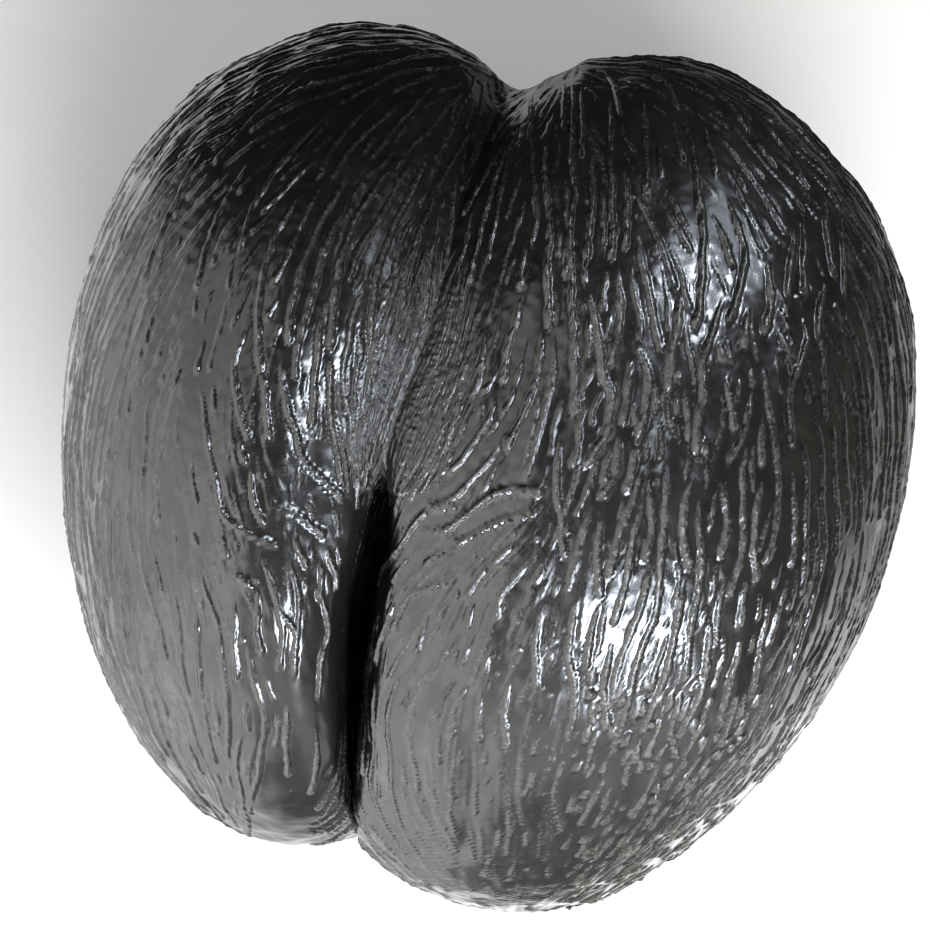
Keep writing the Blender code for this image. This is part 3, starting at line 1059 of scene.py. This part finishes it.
def bars_mesh(name, bars):
    """One mesh of many closed strands."""
    across = len(ACROSS)
    theta, phi, width, lift = [np.concatenate(column) for column in zip(*bars)]
    theta_run = np.concatenate([np.gradient(bar[0]) for bar in bars])
    phi_run = np.concatenate([np.gradient(bar[1]) for bar in bars])
    along, round_it = shell_slopes(theta, phi)
    normals = outward(along, round_it)
    tangent = unit(along * theta_run[:, None] + round_it * phi_run[:, None])
    theta_side, phi_side = angles_of(np.cross(normals, tangent), along, round_it)
    reach = ACROSS[None, :] * width[:, None]
    wide_theta = theta[:, None] + theta_side[:, None] * reach
    wide_phi = phi[:, None] + phi_side[:, None] * reach
    rings = surface(wide_theta, wide_phi, lift[:, None] * CROWN[None, :] - FOOT_SINK)
    faces = []
    hop = np.arange(across)
    next_hop = (hop + 1) % across
    base = 0
    for count in [len(bar[0]) for bar in bars]:
        rows = base + across * np.arange(count - 1)[:, None]
        below = rows + across
        quads = np.stack([rows + next_hop, below + next_hop, below + hop, rows + hop], axis=-1)
        faces.extend(quads.reshape(-1, 4).tolist())
        faces.append((base + hop[::-1]).tolist())
        faces.append((base + across * (count - 1) + hop).tolist())
        base += across * count
    mesh = bpy.data.meshes.new(name)
    mesh.from_pydata(rings.reshape(-1, 3).tolist(), [], faces)
    mesh.shade_smooth()
    store_field(mesh, "crest", "FLOAT", CROWN[None, :] + 0 * lift[:, None])
    return add_object(name, mesh)


def dress(piece, material):
    piece.data.materials.clear()
    piece.data.materials.append(material)
    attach(piece, "root")
    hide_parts("nut")


def group_bars(name, bars, material):
    """Splits a long list of bars into pieces that stay light enough."""
    batch, stations, number = [], 0, 1
    for bar in bars:
        if stations + len(bar[0]) > PIECE_STATIONS:
            dress(bars_mesh(f"{name}_{number}", batch), material)
            batch, stations, number = [], 0, number + 1
        batch.append(bar)
        stations += len(bar[0])
    dress(bars_mesh(f"{name}_{number}", batch), material)


# Materials


def new_material(name):
    material = bpy.data.materials.new(name)
    material.use_nodes = True
    tree = material.node_tree
    return material, tree, tree.nodes["Principled BSDF"]


def set_inputs(tree, node, inputs):
    """Sets each input to a value, or joins it to another node's output."""
    for key, value in inputs.items():
        if isinstance(value, bpy.types.NodeSocket):
            tree.links.new(value, node.inputs[key])
        else:
            node.inputs[key].default_value = value


def make_node(tree, kind, output, inputs, **settings):
    """One output of a new node with these inputs and settings."""
    node = tree.nodes.new("ShaderNode" + kind)
    for name, value in settings.items():
        setattr(node, name, value)
    set_inputs(tree, node, inputs)
    return node.outputs[output]


def noise_node(tree, source, scale, detail, rough=0.5):
    inputs = {"Vector": source, "Scale": scale, "Detail": detail, "Roughness": rough}
    return make_node(tree, "TexNoise", "Fac", inputs)


def ramp_node(tree, source, stops):
    node = tree.nodes.new("ShaderNodeValToRGB")
    ramp = node.color_ramp
    while len(ramp.elements) < len(stops):
        ramp.elements.new(0.5)
    for element, (place, colour) in zip(ramp.elements, stops):
        element.position = place
        element.color = (*colour, 1.0)
    tree.links.new(source, node.inputs["Fac"])
    return node.outputs["Color"]


def colour_node(tree, colour):
    node = tree.nodes.new("ShaderNodeRGB")
    node.outputs[0].default_value = (*colour, 1.0)
    return node.outputs[0]


def range_node(tree, source, low, high, start=0.3, stop=0.7, curve="LINEAR"):
    inputs = {"Value": source, "From Min": start, "From Max": stop, "To Min": low, "To Max": high}
    return make_node(tree, "MapRange", "Result", inputs, interpolation_type=curve)


def value_node(tree, operation, *values):
    """A sum on values, each a number or another node's output."""
    return make_node(tree, "Math", "Value", dict(enumerate(values)), operation=operation)


def mix_node(tree, factor, one, other):
    return make_node(tree, "Mix", 2, {"Factor": factor, 6: one, 7: other}, data_type="RGBA")


def mix_value(tree, factor, one, other):
    return make_node(tree, "Mix", "Result", {"Factor": factor, "A": one, "B": other})


def wear_group():
    """The mottled, grainy wear that the skin and its fibres share."""
    group = bpy.data.node_groups.new("mottled_wear", "ShaderNodeTree")
    group.interface.new_socket("Place", in_out="INPUT", socket_type="NodeSocketVector")
    place = group.nodes.new("NodeGroupInput").outputs["Place"]
    end = group.nodes.new("NodeGroupOutput")
    for name, scale, detail, rough in (("Mottle", 700.0, 4.0, 0.6), ("Grain", 480.0, 5.0, 0.65)):
        group.interface.new_socket(name, in_out="OUTPUT", socket_type="NodeSocketFloat")
        group.links.new(noise_node(group, place, scale, detail, rough), end.inputs[name])
    return group


def wear_node(tree, place, group):
    node = tree.nodes.new("ShaderNodeGroup")
    node.node_tree = group
    tree.links.new(place, node.inputs["Place"])
    return node.outputs["Mottle"], node.outputs["Grain"]


# Brightness and colour of the ground, the fibres' ground, the worn crests and the fibres
DARK_STOPS = (
    (0.35, (0.0028, 0.0027, 0.0025)),
    (0.62, (0.0085, 0.0082, 0.0074)),
    (0.80, (0.0240, 0.0232, 0.0210)),
)
DULL_STOPS = ((0.42, (0.0015, 0.0014, 0.0012)), (0.72, (0.008, 0.0076, 0.0066)))
WORN_STOPS = (
    (0.32, (0.018, 0.0176, 0.016)),
    (0.50, (0.058, 0.057, 0.052)),
    (0.72, (0.130, 0.127, 0.117)),
)
FIBRE_STOPS = (
    (0.0, (0.004, 0.0037, 0.0032)),
    (0.35, (0.022, 0.021, 0.019)),
    (0.70, (0.105, 0.101, 0.092)),
)
GRAIN_STRENGTH = 0.55
GRAIN_HEIGHT = 0.0004
SHELL_IOR = 1.52
FIBRE_IOR = 1.36


def skin_material(wear):
    material, tree, shader = new_material("polished_husked_shell")
    place = make_node(tree, "TexCoord", "Object", {})
    fibres = make_node(tree, "Attribute", "Fac", {}, attribute_name="fibres")
    crest = make_node(tree, "Attribute", "Fac", {}, attribute_name="crest")
    cloud = noise_node(tree, place, 130.0, 7.0, 0.72)
    dark = ramp_node(tree, cloud, DARK_STOPS)
    mottle, grain = wear_node(tree, place, wear)
    dull = ramp_node(tree, grain, DULL_STOPS)
    worn = ramp_node(tree, mottle, WORN_STOPS)
    # The crest attribute holds worn crests and painted shade: fewer pale crests show at the top and on
    # the right flank
    shown = value_node(tree, "MULTIPLY_ADD", mottle, 0.7, value_node(tree, "ADD", crest, -0.35))
    mask = range_node(tree, shown, 0.0, 1.0, 0.10, 0.75)
    ground = mix_node(tree, fibres, dark, dull)
    smear = noise_node(tree, place, 110.0, 6.0, 0.6)
    polish = range_node(tree, smear, 0.16, 0.27)
    rough = mix_value(tree, fibres, polish, range_node(tree, grain, 0.24, 0.40))
    rough = mix_value(tree, mask, rough, range_node(tree, mottle, 0.26, 0.46))
    relief = value_node(tree, "MULTIPLY", value_node(tree, "MULTIPLY_ADD", crest, 0.85, 0.15), grain)
    bump = {"Height": relief, "Strength": GRAIN_STRENGTH, "Distance": GRAIN_HEIGHT}
    set_inputs(tree, shader, {
        "Base Color": mix_node(tree, mask, ground, worn),
        "Roughness": rough,
        "Normal": make_node(tree, "Bump", "Normal", bump),
        "IOR": SHELL_IOR,
    })
    return material


def fibre_material(wear):
    material, tree, shader = new_material("dry_fibres")
    place = make_node(tree, "TexCoord", "Object", {})
    crest = make_node(tree, "Attribute", "Fac", {}, attribute_name="crest")
    mottle, grain = wear_node(tree, place, wear)
    colour = ramp_node(tree, value_node(tree, "MULTIPLY", grain, crest), FIBRE_STOPS)
    rough = range_node(tree, mottle, 0.34, 0.58)
    set_inputs(tree, shader, {"Base Color": colour, "Roughness": rough, "IOR": FIBRE_IOR})
    return material


# Stage, camera and light

FLOOR_SIZE = 5.0
FLOOR_AT = (0, 0, -0.0004)
FLOOR_PAINT = (0.80, 0.80, 0.79)
# How the floor glows, and how much brighter its left is mirrored
FLOOR_GLOW = 0.25
FLOOR_MIRRORED = 1.35
# How dim it is mirrored far down on the right and above the nut, and the share of glow that costs
FLOOR_DIMMED = (0.14, 0.14, 0.135)
GLOW_LOST = 0.9
# A painted reflection: the brighter strip of floor, seen only mirrored in the polish, that edges the foot
# of the right lobe
FLOOR_RIM_REFLECTION = 2.2
# Over which stretch each of these fades, across or along the floor
FADE_LEFT = (-0.34, 0.04)
FADE_RIGHT = (-0.02, 0.10)
FADE_BELOW = (-0.44, -0.28)
FADE_ABOVE = (0.14, 0.20)
FADE_BEHIND = (-0.10, 0.0)
RIM_BEGINS = (-0.38, -0.26)
RIM_ENDS = (-0.14, -0.04)


def make_plane(name, size, place):
    bpy.ops.object.select_all(action="DESELECT")
    bpy.ops.mesh.primitive_plane_add(size=size, location=place)
    plane = bpy.context.object
    plane.name = name
    return plane


def add_object(name, data):
    made = bpy.data.objects.new(name, data)
    bpy.context.scene.collection.objects.link(made)
    return made


def make_floor():
    floor = make_plane("floor", FLOOR_SIZE, FLOOR_AT)
    material, tree, shader = new_material("pale_floor")
    place = make_node(tree, "TexCoord", "Object", {})
    split = tree.nodes.new("ShaderNodeSeparateXYZ")
    tree.links.new(place, split.inputs["Vector"])
    across, along = split.outputs["X"], split.outputs["Y"]
    left = range_node(tree, across, 1.0, 0.0, *FADE_LEFT)
    # The floor's look in the polish is a painted reflection: brighter on the left, dimmer far down on the
    # right and above the nut
    glossy = make_node(tree, "LightPath", "Is Glossy Ray", {})
    mirrored = value_node(tree, "MULTIPLY", glossy, left)
    glow = value_node(tree, "MULTIPLY_ADD", mirrored, FLOOR_MIRRORED, FLOOR_GLOW)
    right = range_node(tree, across, 0.0, 1.0, *FADE_RIGHT)
    below = range_node(tree, along, 1.0, 0.0, *FADE_BELOW)
    above = range_node(tree, along, 0.0, 0.85, *FADE_ABOVE)
    behind = value_node(tree, "MULTIPLY", above, range_node(tree, across, 0.0, 1.0, *FADE_BEHIND))
    dark = value_node(tree, "MAXIMUM", value_node(tree, "MULTIPLY", right, below), behind)
    dimmed = value_node(tree, "MULTIPLY", glossy, dark)
    paint = ramp_node(tree, dimmed, [(0.0, FLOOR_PAINT), (1.0, FLOOR_DIMMED)])
    glow = value_node(tree, "MULTIPLY_ADD", dimmed, -GLOW_LOST * FLOOR_GLOW, glow)
    # Painted reflection: a brighter strip of floor that only the polish sees
    near = range_node(tree, along, 0.0, 1.0, *RIM_BEGINS)
    rim = value_node(tree, "MULTIPLY", near, range_node(tree, along, 1.0, 0.0, *RIM_ENDS))
    rim = value_node(tree, "MULTIPLY", glossy, value_node(tree, "MULTIPLY", right, rim))
    glow = value_node(tree, "MULTIPLY_ADD", rim, FLOOR_RIM_REFLECTION, glow)
    set_inputs(tree, shader, {
        "Base Color": paint,
        "Roughness": 0.6,
        "Emission Color": (1, 1, 0.99, 1),
        "Emission Strength": glow,
    })
    floor.data.materials.append(material)


CAMERA_RIGHT = np.array([0.98074, 0.19462, -0.01670])
CAMERA_UP = np.array([-0.19522, 0.97954, -0.04890])
CAMERA_BACK = np.array([0.00684, 0.05122, 0.99866])
CAMERA_AT = np.array([0.01104, 0.04575, 0.54531]) + SHIFT
CAMERA_ANGLE = 34.0


def make_camera():
    bpy.context.scene.view_settings.view_transform = "Standard"
    data = bpy.data.cameras.new("camera")
    camera = add_object("camera", data)
    turn = np.stack([CAMERA_RIGHT, CAMERA_UP, CAMERA_BACK], axis=1)
    matrix = Matrix.Identity(4)
    for row in range(3):
        for column in range(3):
            matrix[row][column] = turn[row, column]
        matrix[row][3] = CAMERA_AT[row]
    camera.matrix_world = matrix
    data.sensor_fit = "HORIZONTAL"
    data.angle = math.radians(CAMERA_ANGLE)
    data.clip_start = 0.01
    bpy.context.scene.camera = camera


# What the polish mirrors: brightness by how far up it lies, from straight down to straight up
ROOM_MIDDLE = (
    (0.0, 0.8), (0.06, 1.4), (0.14, 2.6), (0.22, 1.65),
    (0.29, 0.60), (0.38, 0.24), (0.50, 0.10), (1.0, 0.03),
)
ROOM_LEFT = (
    (0.0, 4.2), (0.12, 4.7), (0.25, 4.7), (0.50, 3.3),
    (0.72, 1.8), (0.86, 0.55), (1.0, 0.10),
)
ROOM_TINT = (1.0, 0.995, 0.97)
# The even colours of its right and its far left, and what lights the nut without being mirrored
ROOM_RIGHT = (0.30, 0.279, 0.24)
ROOM_FAR_LEFT = (3.2, 3.2, 3.2)
ROOM_DIFFUSE = (0.22, 0.22, 0.22)
# Where these parts blend into one another, as a share of the way to the side
BLEND_RIGHT = (0.62, 0.86)
BLEND_FAR_LEFT = (-0.86, -0.98)
PANEL_SLANT = -0.05
PANEL_EDGE = -0.20
PANEL_BLEND = 0.15
ROOM_PATCHES = 4.0
PATCH_LEAST = 0.75
PATCH_MORE = 0.50
HIGHLIGHT_REACH = 0.36
HIGHLIGHT_SPREAD = 26
SPREAD_GAIN = 45.0
SOFTBOX_COLOUR = (0.82, 0.88, 1.0)
KEY_AT = (0.55, -0.80, 0.85)
KEY_TARGET = (0.05, -0.10, 0)
KEY_SIDES = (0.9, 0.9)
KEY_COLOUR = (1.0, 1.0, 0.99)
KEY_POWER = 26.0
FLAG_AT = (-0.05, 0.30, 0.25)
FLAG_SIDES = (1.1, 0.5, 1.0)
# Where each bright softbox is mirrored, the way to it (right, up, back), its sides and its radiance
HIGHLIGHTS = {
    "softbox_right_upper": ((0.0719, 0.1015, 0.0696), (0.45, 0.54, 0.71), 0.05, 0.11, 150),
    "softbox_left_upper": ((-0.041, 0.0356, 0.0804), (0.55, 0.05, 0.84), 0.06, 0.09, 85),
    "softbox_right_lower": ((0.0701, -0.0194, 0.0839), (0.30, -0.41, 0.86), 0.07, 0.11, 150),
    "softbox_left_lower": ((-0.038, -0.0358, 0.080), (0.45, -0.51, 0.73), 0.06, 0.09, 140),
}


def softbox(name, place, target, sides, power, colour, glossy=True):
    light = bpy.data.lights.new(name, "AREA")
    light.shape = "RECTANGLE"
    light.size, light.size_y = sides
    light.energy = power
    light.color = colour
    lamp = add_object(name, light)
    lamp.location = place
    way = Vector(target) - Vector(place)
    lamp.rotation_euler = way.to_track_quat("-Z", "Y").to_euler()
    lamp.visible_glossy = glossy
    return lamp


def room_value(tree, direction, axis):
    inputs = {0: direction, 1: tuple(axis)}
    return make_node(tree, "VectorMath", "Value", inputs, operation="DOT_PRODUCT")


def room_band(tree, value, start, stop):
    """0 before start, 1 after stop."""
    return range_node(tree, value, 0.0, 1.0, start, stop, "SMOOTHSTEP")


def room_ramp(tree, height, stops):
    """Brightness by height, where 0 is straight down and 1 straight up."""
    tinted = [(place, [bright * tint for tint in ROOM_TINT]) for place, bright in stops]
    return ramp_node(tree, height, tinted)


def make_room():
    """The room round the nut: bright low down and on the left, dark above, dim on the right."""
    world = bpy.data.worlds.new("room")
    bpy.context.scene.world = world
    world.use_nodes = True
    world.cycles.sampling_method = "NONE"
    tree = world.node_tree
    direction = make_node(tree, "TexCoord", "Generated", {})
    right = room_value(tree, direction, CAMERA_RIGHT)
    height = value_node(tree, "MULTIPLY_ADD", room_value(tree, direction, CAMERA_UP), 0.5, 0.5)
    edge = room_value(tree, direction, CAMERA_RIGHT + PANEL_SLANT * CAMERA_UP)
    middle = room_ramp(tree, height, ROOM_MIDDLE)
    left = room_ramp(tree, height, ROOM_LEFT)
    dim = colour_node(tree, ROOM_RIGHT)
    middle = mix_node(tree, room_band(tree, right, *BLEND_RIGHT), middle, dim)
    mask = room_band(tree, edge, PANEL_EDGE + PANEL_BLEND, PANEL_EDGE - PANEL_BLEND)
    mirrored = mix_node(tree, mask, middle, left)
    far = colour_node(tree, ROOM_FAR_LEFT)
    mirrored = mix_node(tree, room_band(tree, right, *BLEND_FAR_LEFT), mirrored, far)
    patches = room_band(tree, noise_node(tree, direction, ROOM_PATCHES, 3.0, 0.55), 0.30, 0.70)
    patches = value_node(tree, "MULTIPLY_ADD", patches, PATCH_MORE, PATCH_LEAST)
    uneven = make_node(tree, "VectorMath", "Vector", {0: mirrored, "Scale": patches}, operation="SCALE")
    glossy = make_node(tree, "LightPath", "Is Glossy Ray", {})
    whole = mix_node(tree, glossy, colour_node(tree, ROOM_DIFFUSE), uneven)
    tree.links.new(whole, tree.nodes["Background"].inputs["Color"])


def make_lamps():
    for name, (place, way, wide, tall, radiance) in HIGHLIGHTS.items():
        place = np.array(place) + SHIFT
        toward = way[0] * CAMERA_RIGHT + way[1] * CAMERA_UP + way[2] * CAMERA_BACK
        lamp_at = place + HIGHLIGHT_REACH * unit(toward)
        power = radiance * math.pi * wide * tall / SPREAD_GAIN
        lamp = softbox(name, lamp_at, place, (wide, tall), power, SOFTBOX_COLOUR)
        lamp.data.spread = math.radians(HIGHLIGHT_SPREAD)
    softbox("key", KEY_AT, KEY_TARGET, KEY_SIDES, KEY_POWER, KEY_COLOUR, False)


def make_flag():
    """A dark card above the nut's top, which keeps the bright floor out of the polish."""
    flag = make_plane("flag", 1.0, FLAG_AT)
    bpy.ops.object.mode_set(mode="EDIT")
    bpy.ops.transform.resize(value=FLAG_SIDES)
    bpy.ops.transform.rotate(value=math.radians(90), orient_axis="X", center_override=FLAG_AT)
    bpy.ops.object.mode_set(mode="OBJECT")
    material, tree, shader = new_material("dark_card")
    set_inputs(tree, shader, {"Base Color": (0.02, 0.02, 0.02, 1), "Roughness": 1.0})
    flag.data.materials.append(material)
    flag.visible_camera = False
    flag.visible_diffuse = False
    flag.visible_shadow = False


# Making the ridges and fibres

# Places tried, steps each way, meander and least length of each kind of ridge
LONGS = (2600, 62, 0.10, 0.034)
MIDDLES = (5000, 26, 0.15, 0.007)
SHORTS = (11000, 9, 0.25, 0.0025)
LINKS = 190
# Heights over the shell of ridges as wide as the common width
COMMON_WIDTH = 0.0010
KEY_HEIGHT = 0.00080
LONG_HEIGHT = 0.00065
LINK_HEIGHT = 0.0005
SHORT_HEIGHT = 0.00040
KNOBBLY_HEIGHT = 0.00030
EYE_HEIGHT = 0.0004
# Between which shares of these heights, and of the place's shade, each ridge lies
KEY_SPREAD = (0.8, 1.1)
LONG_SPREAD = (0.55, 1.2)
SHORT_SPREAD = (0.5, 1.4)
SHADE_SPREAD = (0.65, 1.1)
STEP_STRENGTH = 1.5
EYE_CHANCE = 0.05
PIMPLES = 420
PIMPLE_TURN = 0.004
PIMPLE_HALVES = (0.0004, 0.0009)
PIMPLE_SHADES = (0.2, 0.5)
STREAKS = 420
STREAK_REACH = 15
LEAST_STREAK = 4
STREAK_HALVES = (0.0006, 0.0013)
STREAK_HEIGHTS = (0.00008, 0.00018)
STREAK_SHADES = (0.10, 0.38)


def draw_ridges(kind, plan, crowding, generator, wanted=None):
    tries, steps, meander, least = kind
    places = sample_shell(tries, generator, wanted)
    return pick_lines(places, steps, meander, plan, crowding, generator, least)


def press_line(relief, course, generator):
    middle = len(course[0]) // 2
    here = slice(middle, middle + 1)
    shade = ridge_tone_and_painted_shade(shell_points(course[0][here], course[1][here]))[0]
    relief.press(course, shade * generator.uniform(*SHADE_SPREAD))


def press_keys(relief, keys, eyes, generator):
    for number, line in enumerate(keys):
        strong = STEP_STRENGTH if number in STEP_RIDGES else 1.0
        height = KEY_HEIGHT * strong * generator.uniform(*KEY_SPREAD) * (line[2].mean() / COMMON_WIDTH)
        wide = (line[0], line[1], line[2] * (1 + 0.4 * (strong - 1)))
        press_line(relief, rib(wide, height, generator, 0.25, 0.12), generator)
        if number in NEEDLE_EYES:
            eyes.append(needle_eye(line))


def press_longs(relief, lines, eyes, generator):
    for line in lines:
        height = LONG_HEIGHT * generator.uniform(*LONG_SPREAD) * (line[2].mean() / COMMON_WIDTH)
        knobs = 0.15 + 0.25 * knobbly_share(shell_points(line[0][:1], line[1][:1]))[0]
        press_line(relief, rib(line, height, generator, generator.uniform(0, 0.5), knobs), generator)
        quiet = calm_share(shell_points(line[0][-1:], line[1][-1:]))[0]
        if generator.uniform() < EYE_CHANCE and quiet < 0.2:
            eyes.append(needle_eye(line))


def press_shorts(relief, lines, generator):
    for line in lines:
        knobbly = knobbly_share(shell_points(line[0][:1], line[1][:1]))[0]
        height = (SHORT_HEIGHT + KNOBBLY_HEIGHT * knobbly) * generator.uniform(*SHORT_SPREAD)
        press_line(relief, rib(line, height, generator, generator.uniform(0, 0.6), 0.25), generator)


def press_pimples(relief, generator):
    places = sample_shell(PIMPLES, generator, lambda p: 0.15 + bare_share(p) + calm_share(p))
    ends = np.array([0, PIMPLE_TURN])
    for theta, phi in zip(*places):
        half = generator.uniform(*PIMPLE_HALVES)
        course = (theta + ends, phi + 0 * ends, np.full(2, half), np.full(2, 0.45 * half))
        relief.press(course, generator.uniform(*PIMPLE_SHADES))


def press_streaks(relief, generator):
    """Faint, pale streaks on the smooth slopes."""
    places = sample_shell(STREAKS, generator, lambda p: 0.06 + bare_share(p) + calm_share(p))
    theta, phi, alive = trace_both(places[0], places[1], STREAK_REACH, 0.08, generator)
    for line in range(len(theta)):
        reach = int(generator.integers(LEAST_STREAK, STREAK_REACH))
        part = slice(STREAK_REACH - reach, STREAK_REACH + reach + 1)
        half = np.full(2 * reach + 1, generator.uniform(*STREAK_HALVES))
        height = generator.uniform(*STREAK_HEIGHTS)
        streak = rib((theta[line, part], phi[line, part], half), height, generator, drip=0.0)
        if alive[line, part].all():
            relief.press(streak, generator.uniform(*STREAK_SHADES))


def make_ridges(relief, strand, generator):
    crowding = Crowding()
    keys = key_lines(crowding, generator)
    longs = draw_ridges(LONGS, long_plan, crowding, generator)
    longs = longs + draw_ridges(MIDDLES, long_plan, crowding, generator)
    links = join_lines(longs, generator, LINKS)
    shorts = draw_ridges(SHORTS, short_plan, crowding, generator, busy_share)
    eyes = []
    press_keys(relief, keys, eyes, generator)
    press_longs(relief, longs, eyes, generator)
    for line in links:
        press_line(relief, rib(line, LINK_HEIGHT, generator, drip=0.0), generator)
    press_shorts(relief, shorts, generator)
    press_pimples(relief, generator)
    press_streaks(relief, generator)
    loops = [rib(eye, EYE_HEIGHT, generator, closed_ends=False) for eye in eyes]
    group_bars("eyes", loops, strand)


FIBRE_COUNT = 800
PRESSED_FIBRES = 0.4
FIBRE_REACH = 22
LEAST_FIBRE = 4
FIBRE_HALVES = (0.00028, 0.00052)
FIBRE_HEIGHTS = (0.0003, 0.0006)
PRESSED_SHADES = (0.0, 0.32)


def make_fibres(relief, material, generator):
    places = sample_shell(FIBRE_COUNT, generator, fibre_share)
    theta, phi, alive = trace_both(places[0], places[1], FIBRE_REACH, 0.10, generator)
    bars = []
    for line in range(len(theta)):
        share = fibre_share(shell_points(theta[line], phi[line]))
        good = alive[line] & (share > 0.03)
        reach = int(generator.integers(LEAST_FIBRE, FIBRE_REACH))
        first, last = clear_run(good, FIBRE_REACH, reach)
        if last - first < LEAST_FIBRE:
            continue
        part = slice(first, last + 1)
        half = np.full(last + 1 - first, generator.uniform(*FIBRE_HALVES))
        height = generator.uniform(*FIBRE_HEIGHTS)
        strand = rib((theta[line, part], phi[line, part], half), height, generator, drip=0.0)
        if generator.uniform() < PRESSED_FIBRES:
            pressed = (strand[0], strand[1], 1.3 * strand[2], 1.2 * strand[3])
            relief.press(pressed, generator.uniform(*PRESSED_SHADES))
        else:
            bars.append(strand)
    group_bars("fibres", bars, material)


def main():
    generator = np.random.default_rng(SEED)
    wear = wear_group()
    skin = skin_material(wear)
    strand = fibre_material(wear)
    relief = Relief()
    make_ridges(relief, strand, generator)
    make_fibres(relief, strand, generator)
    make_skin(relief, skin)
    make_floor()
    make_flag()
    make_room()
    make_lamps()
    make_camera()


main()
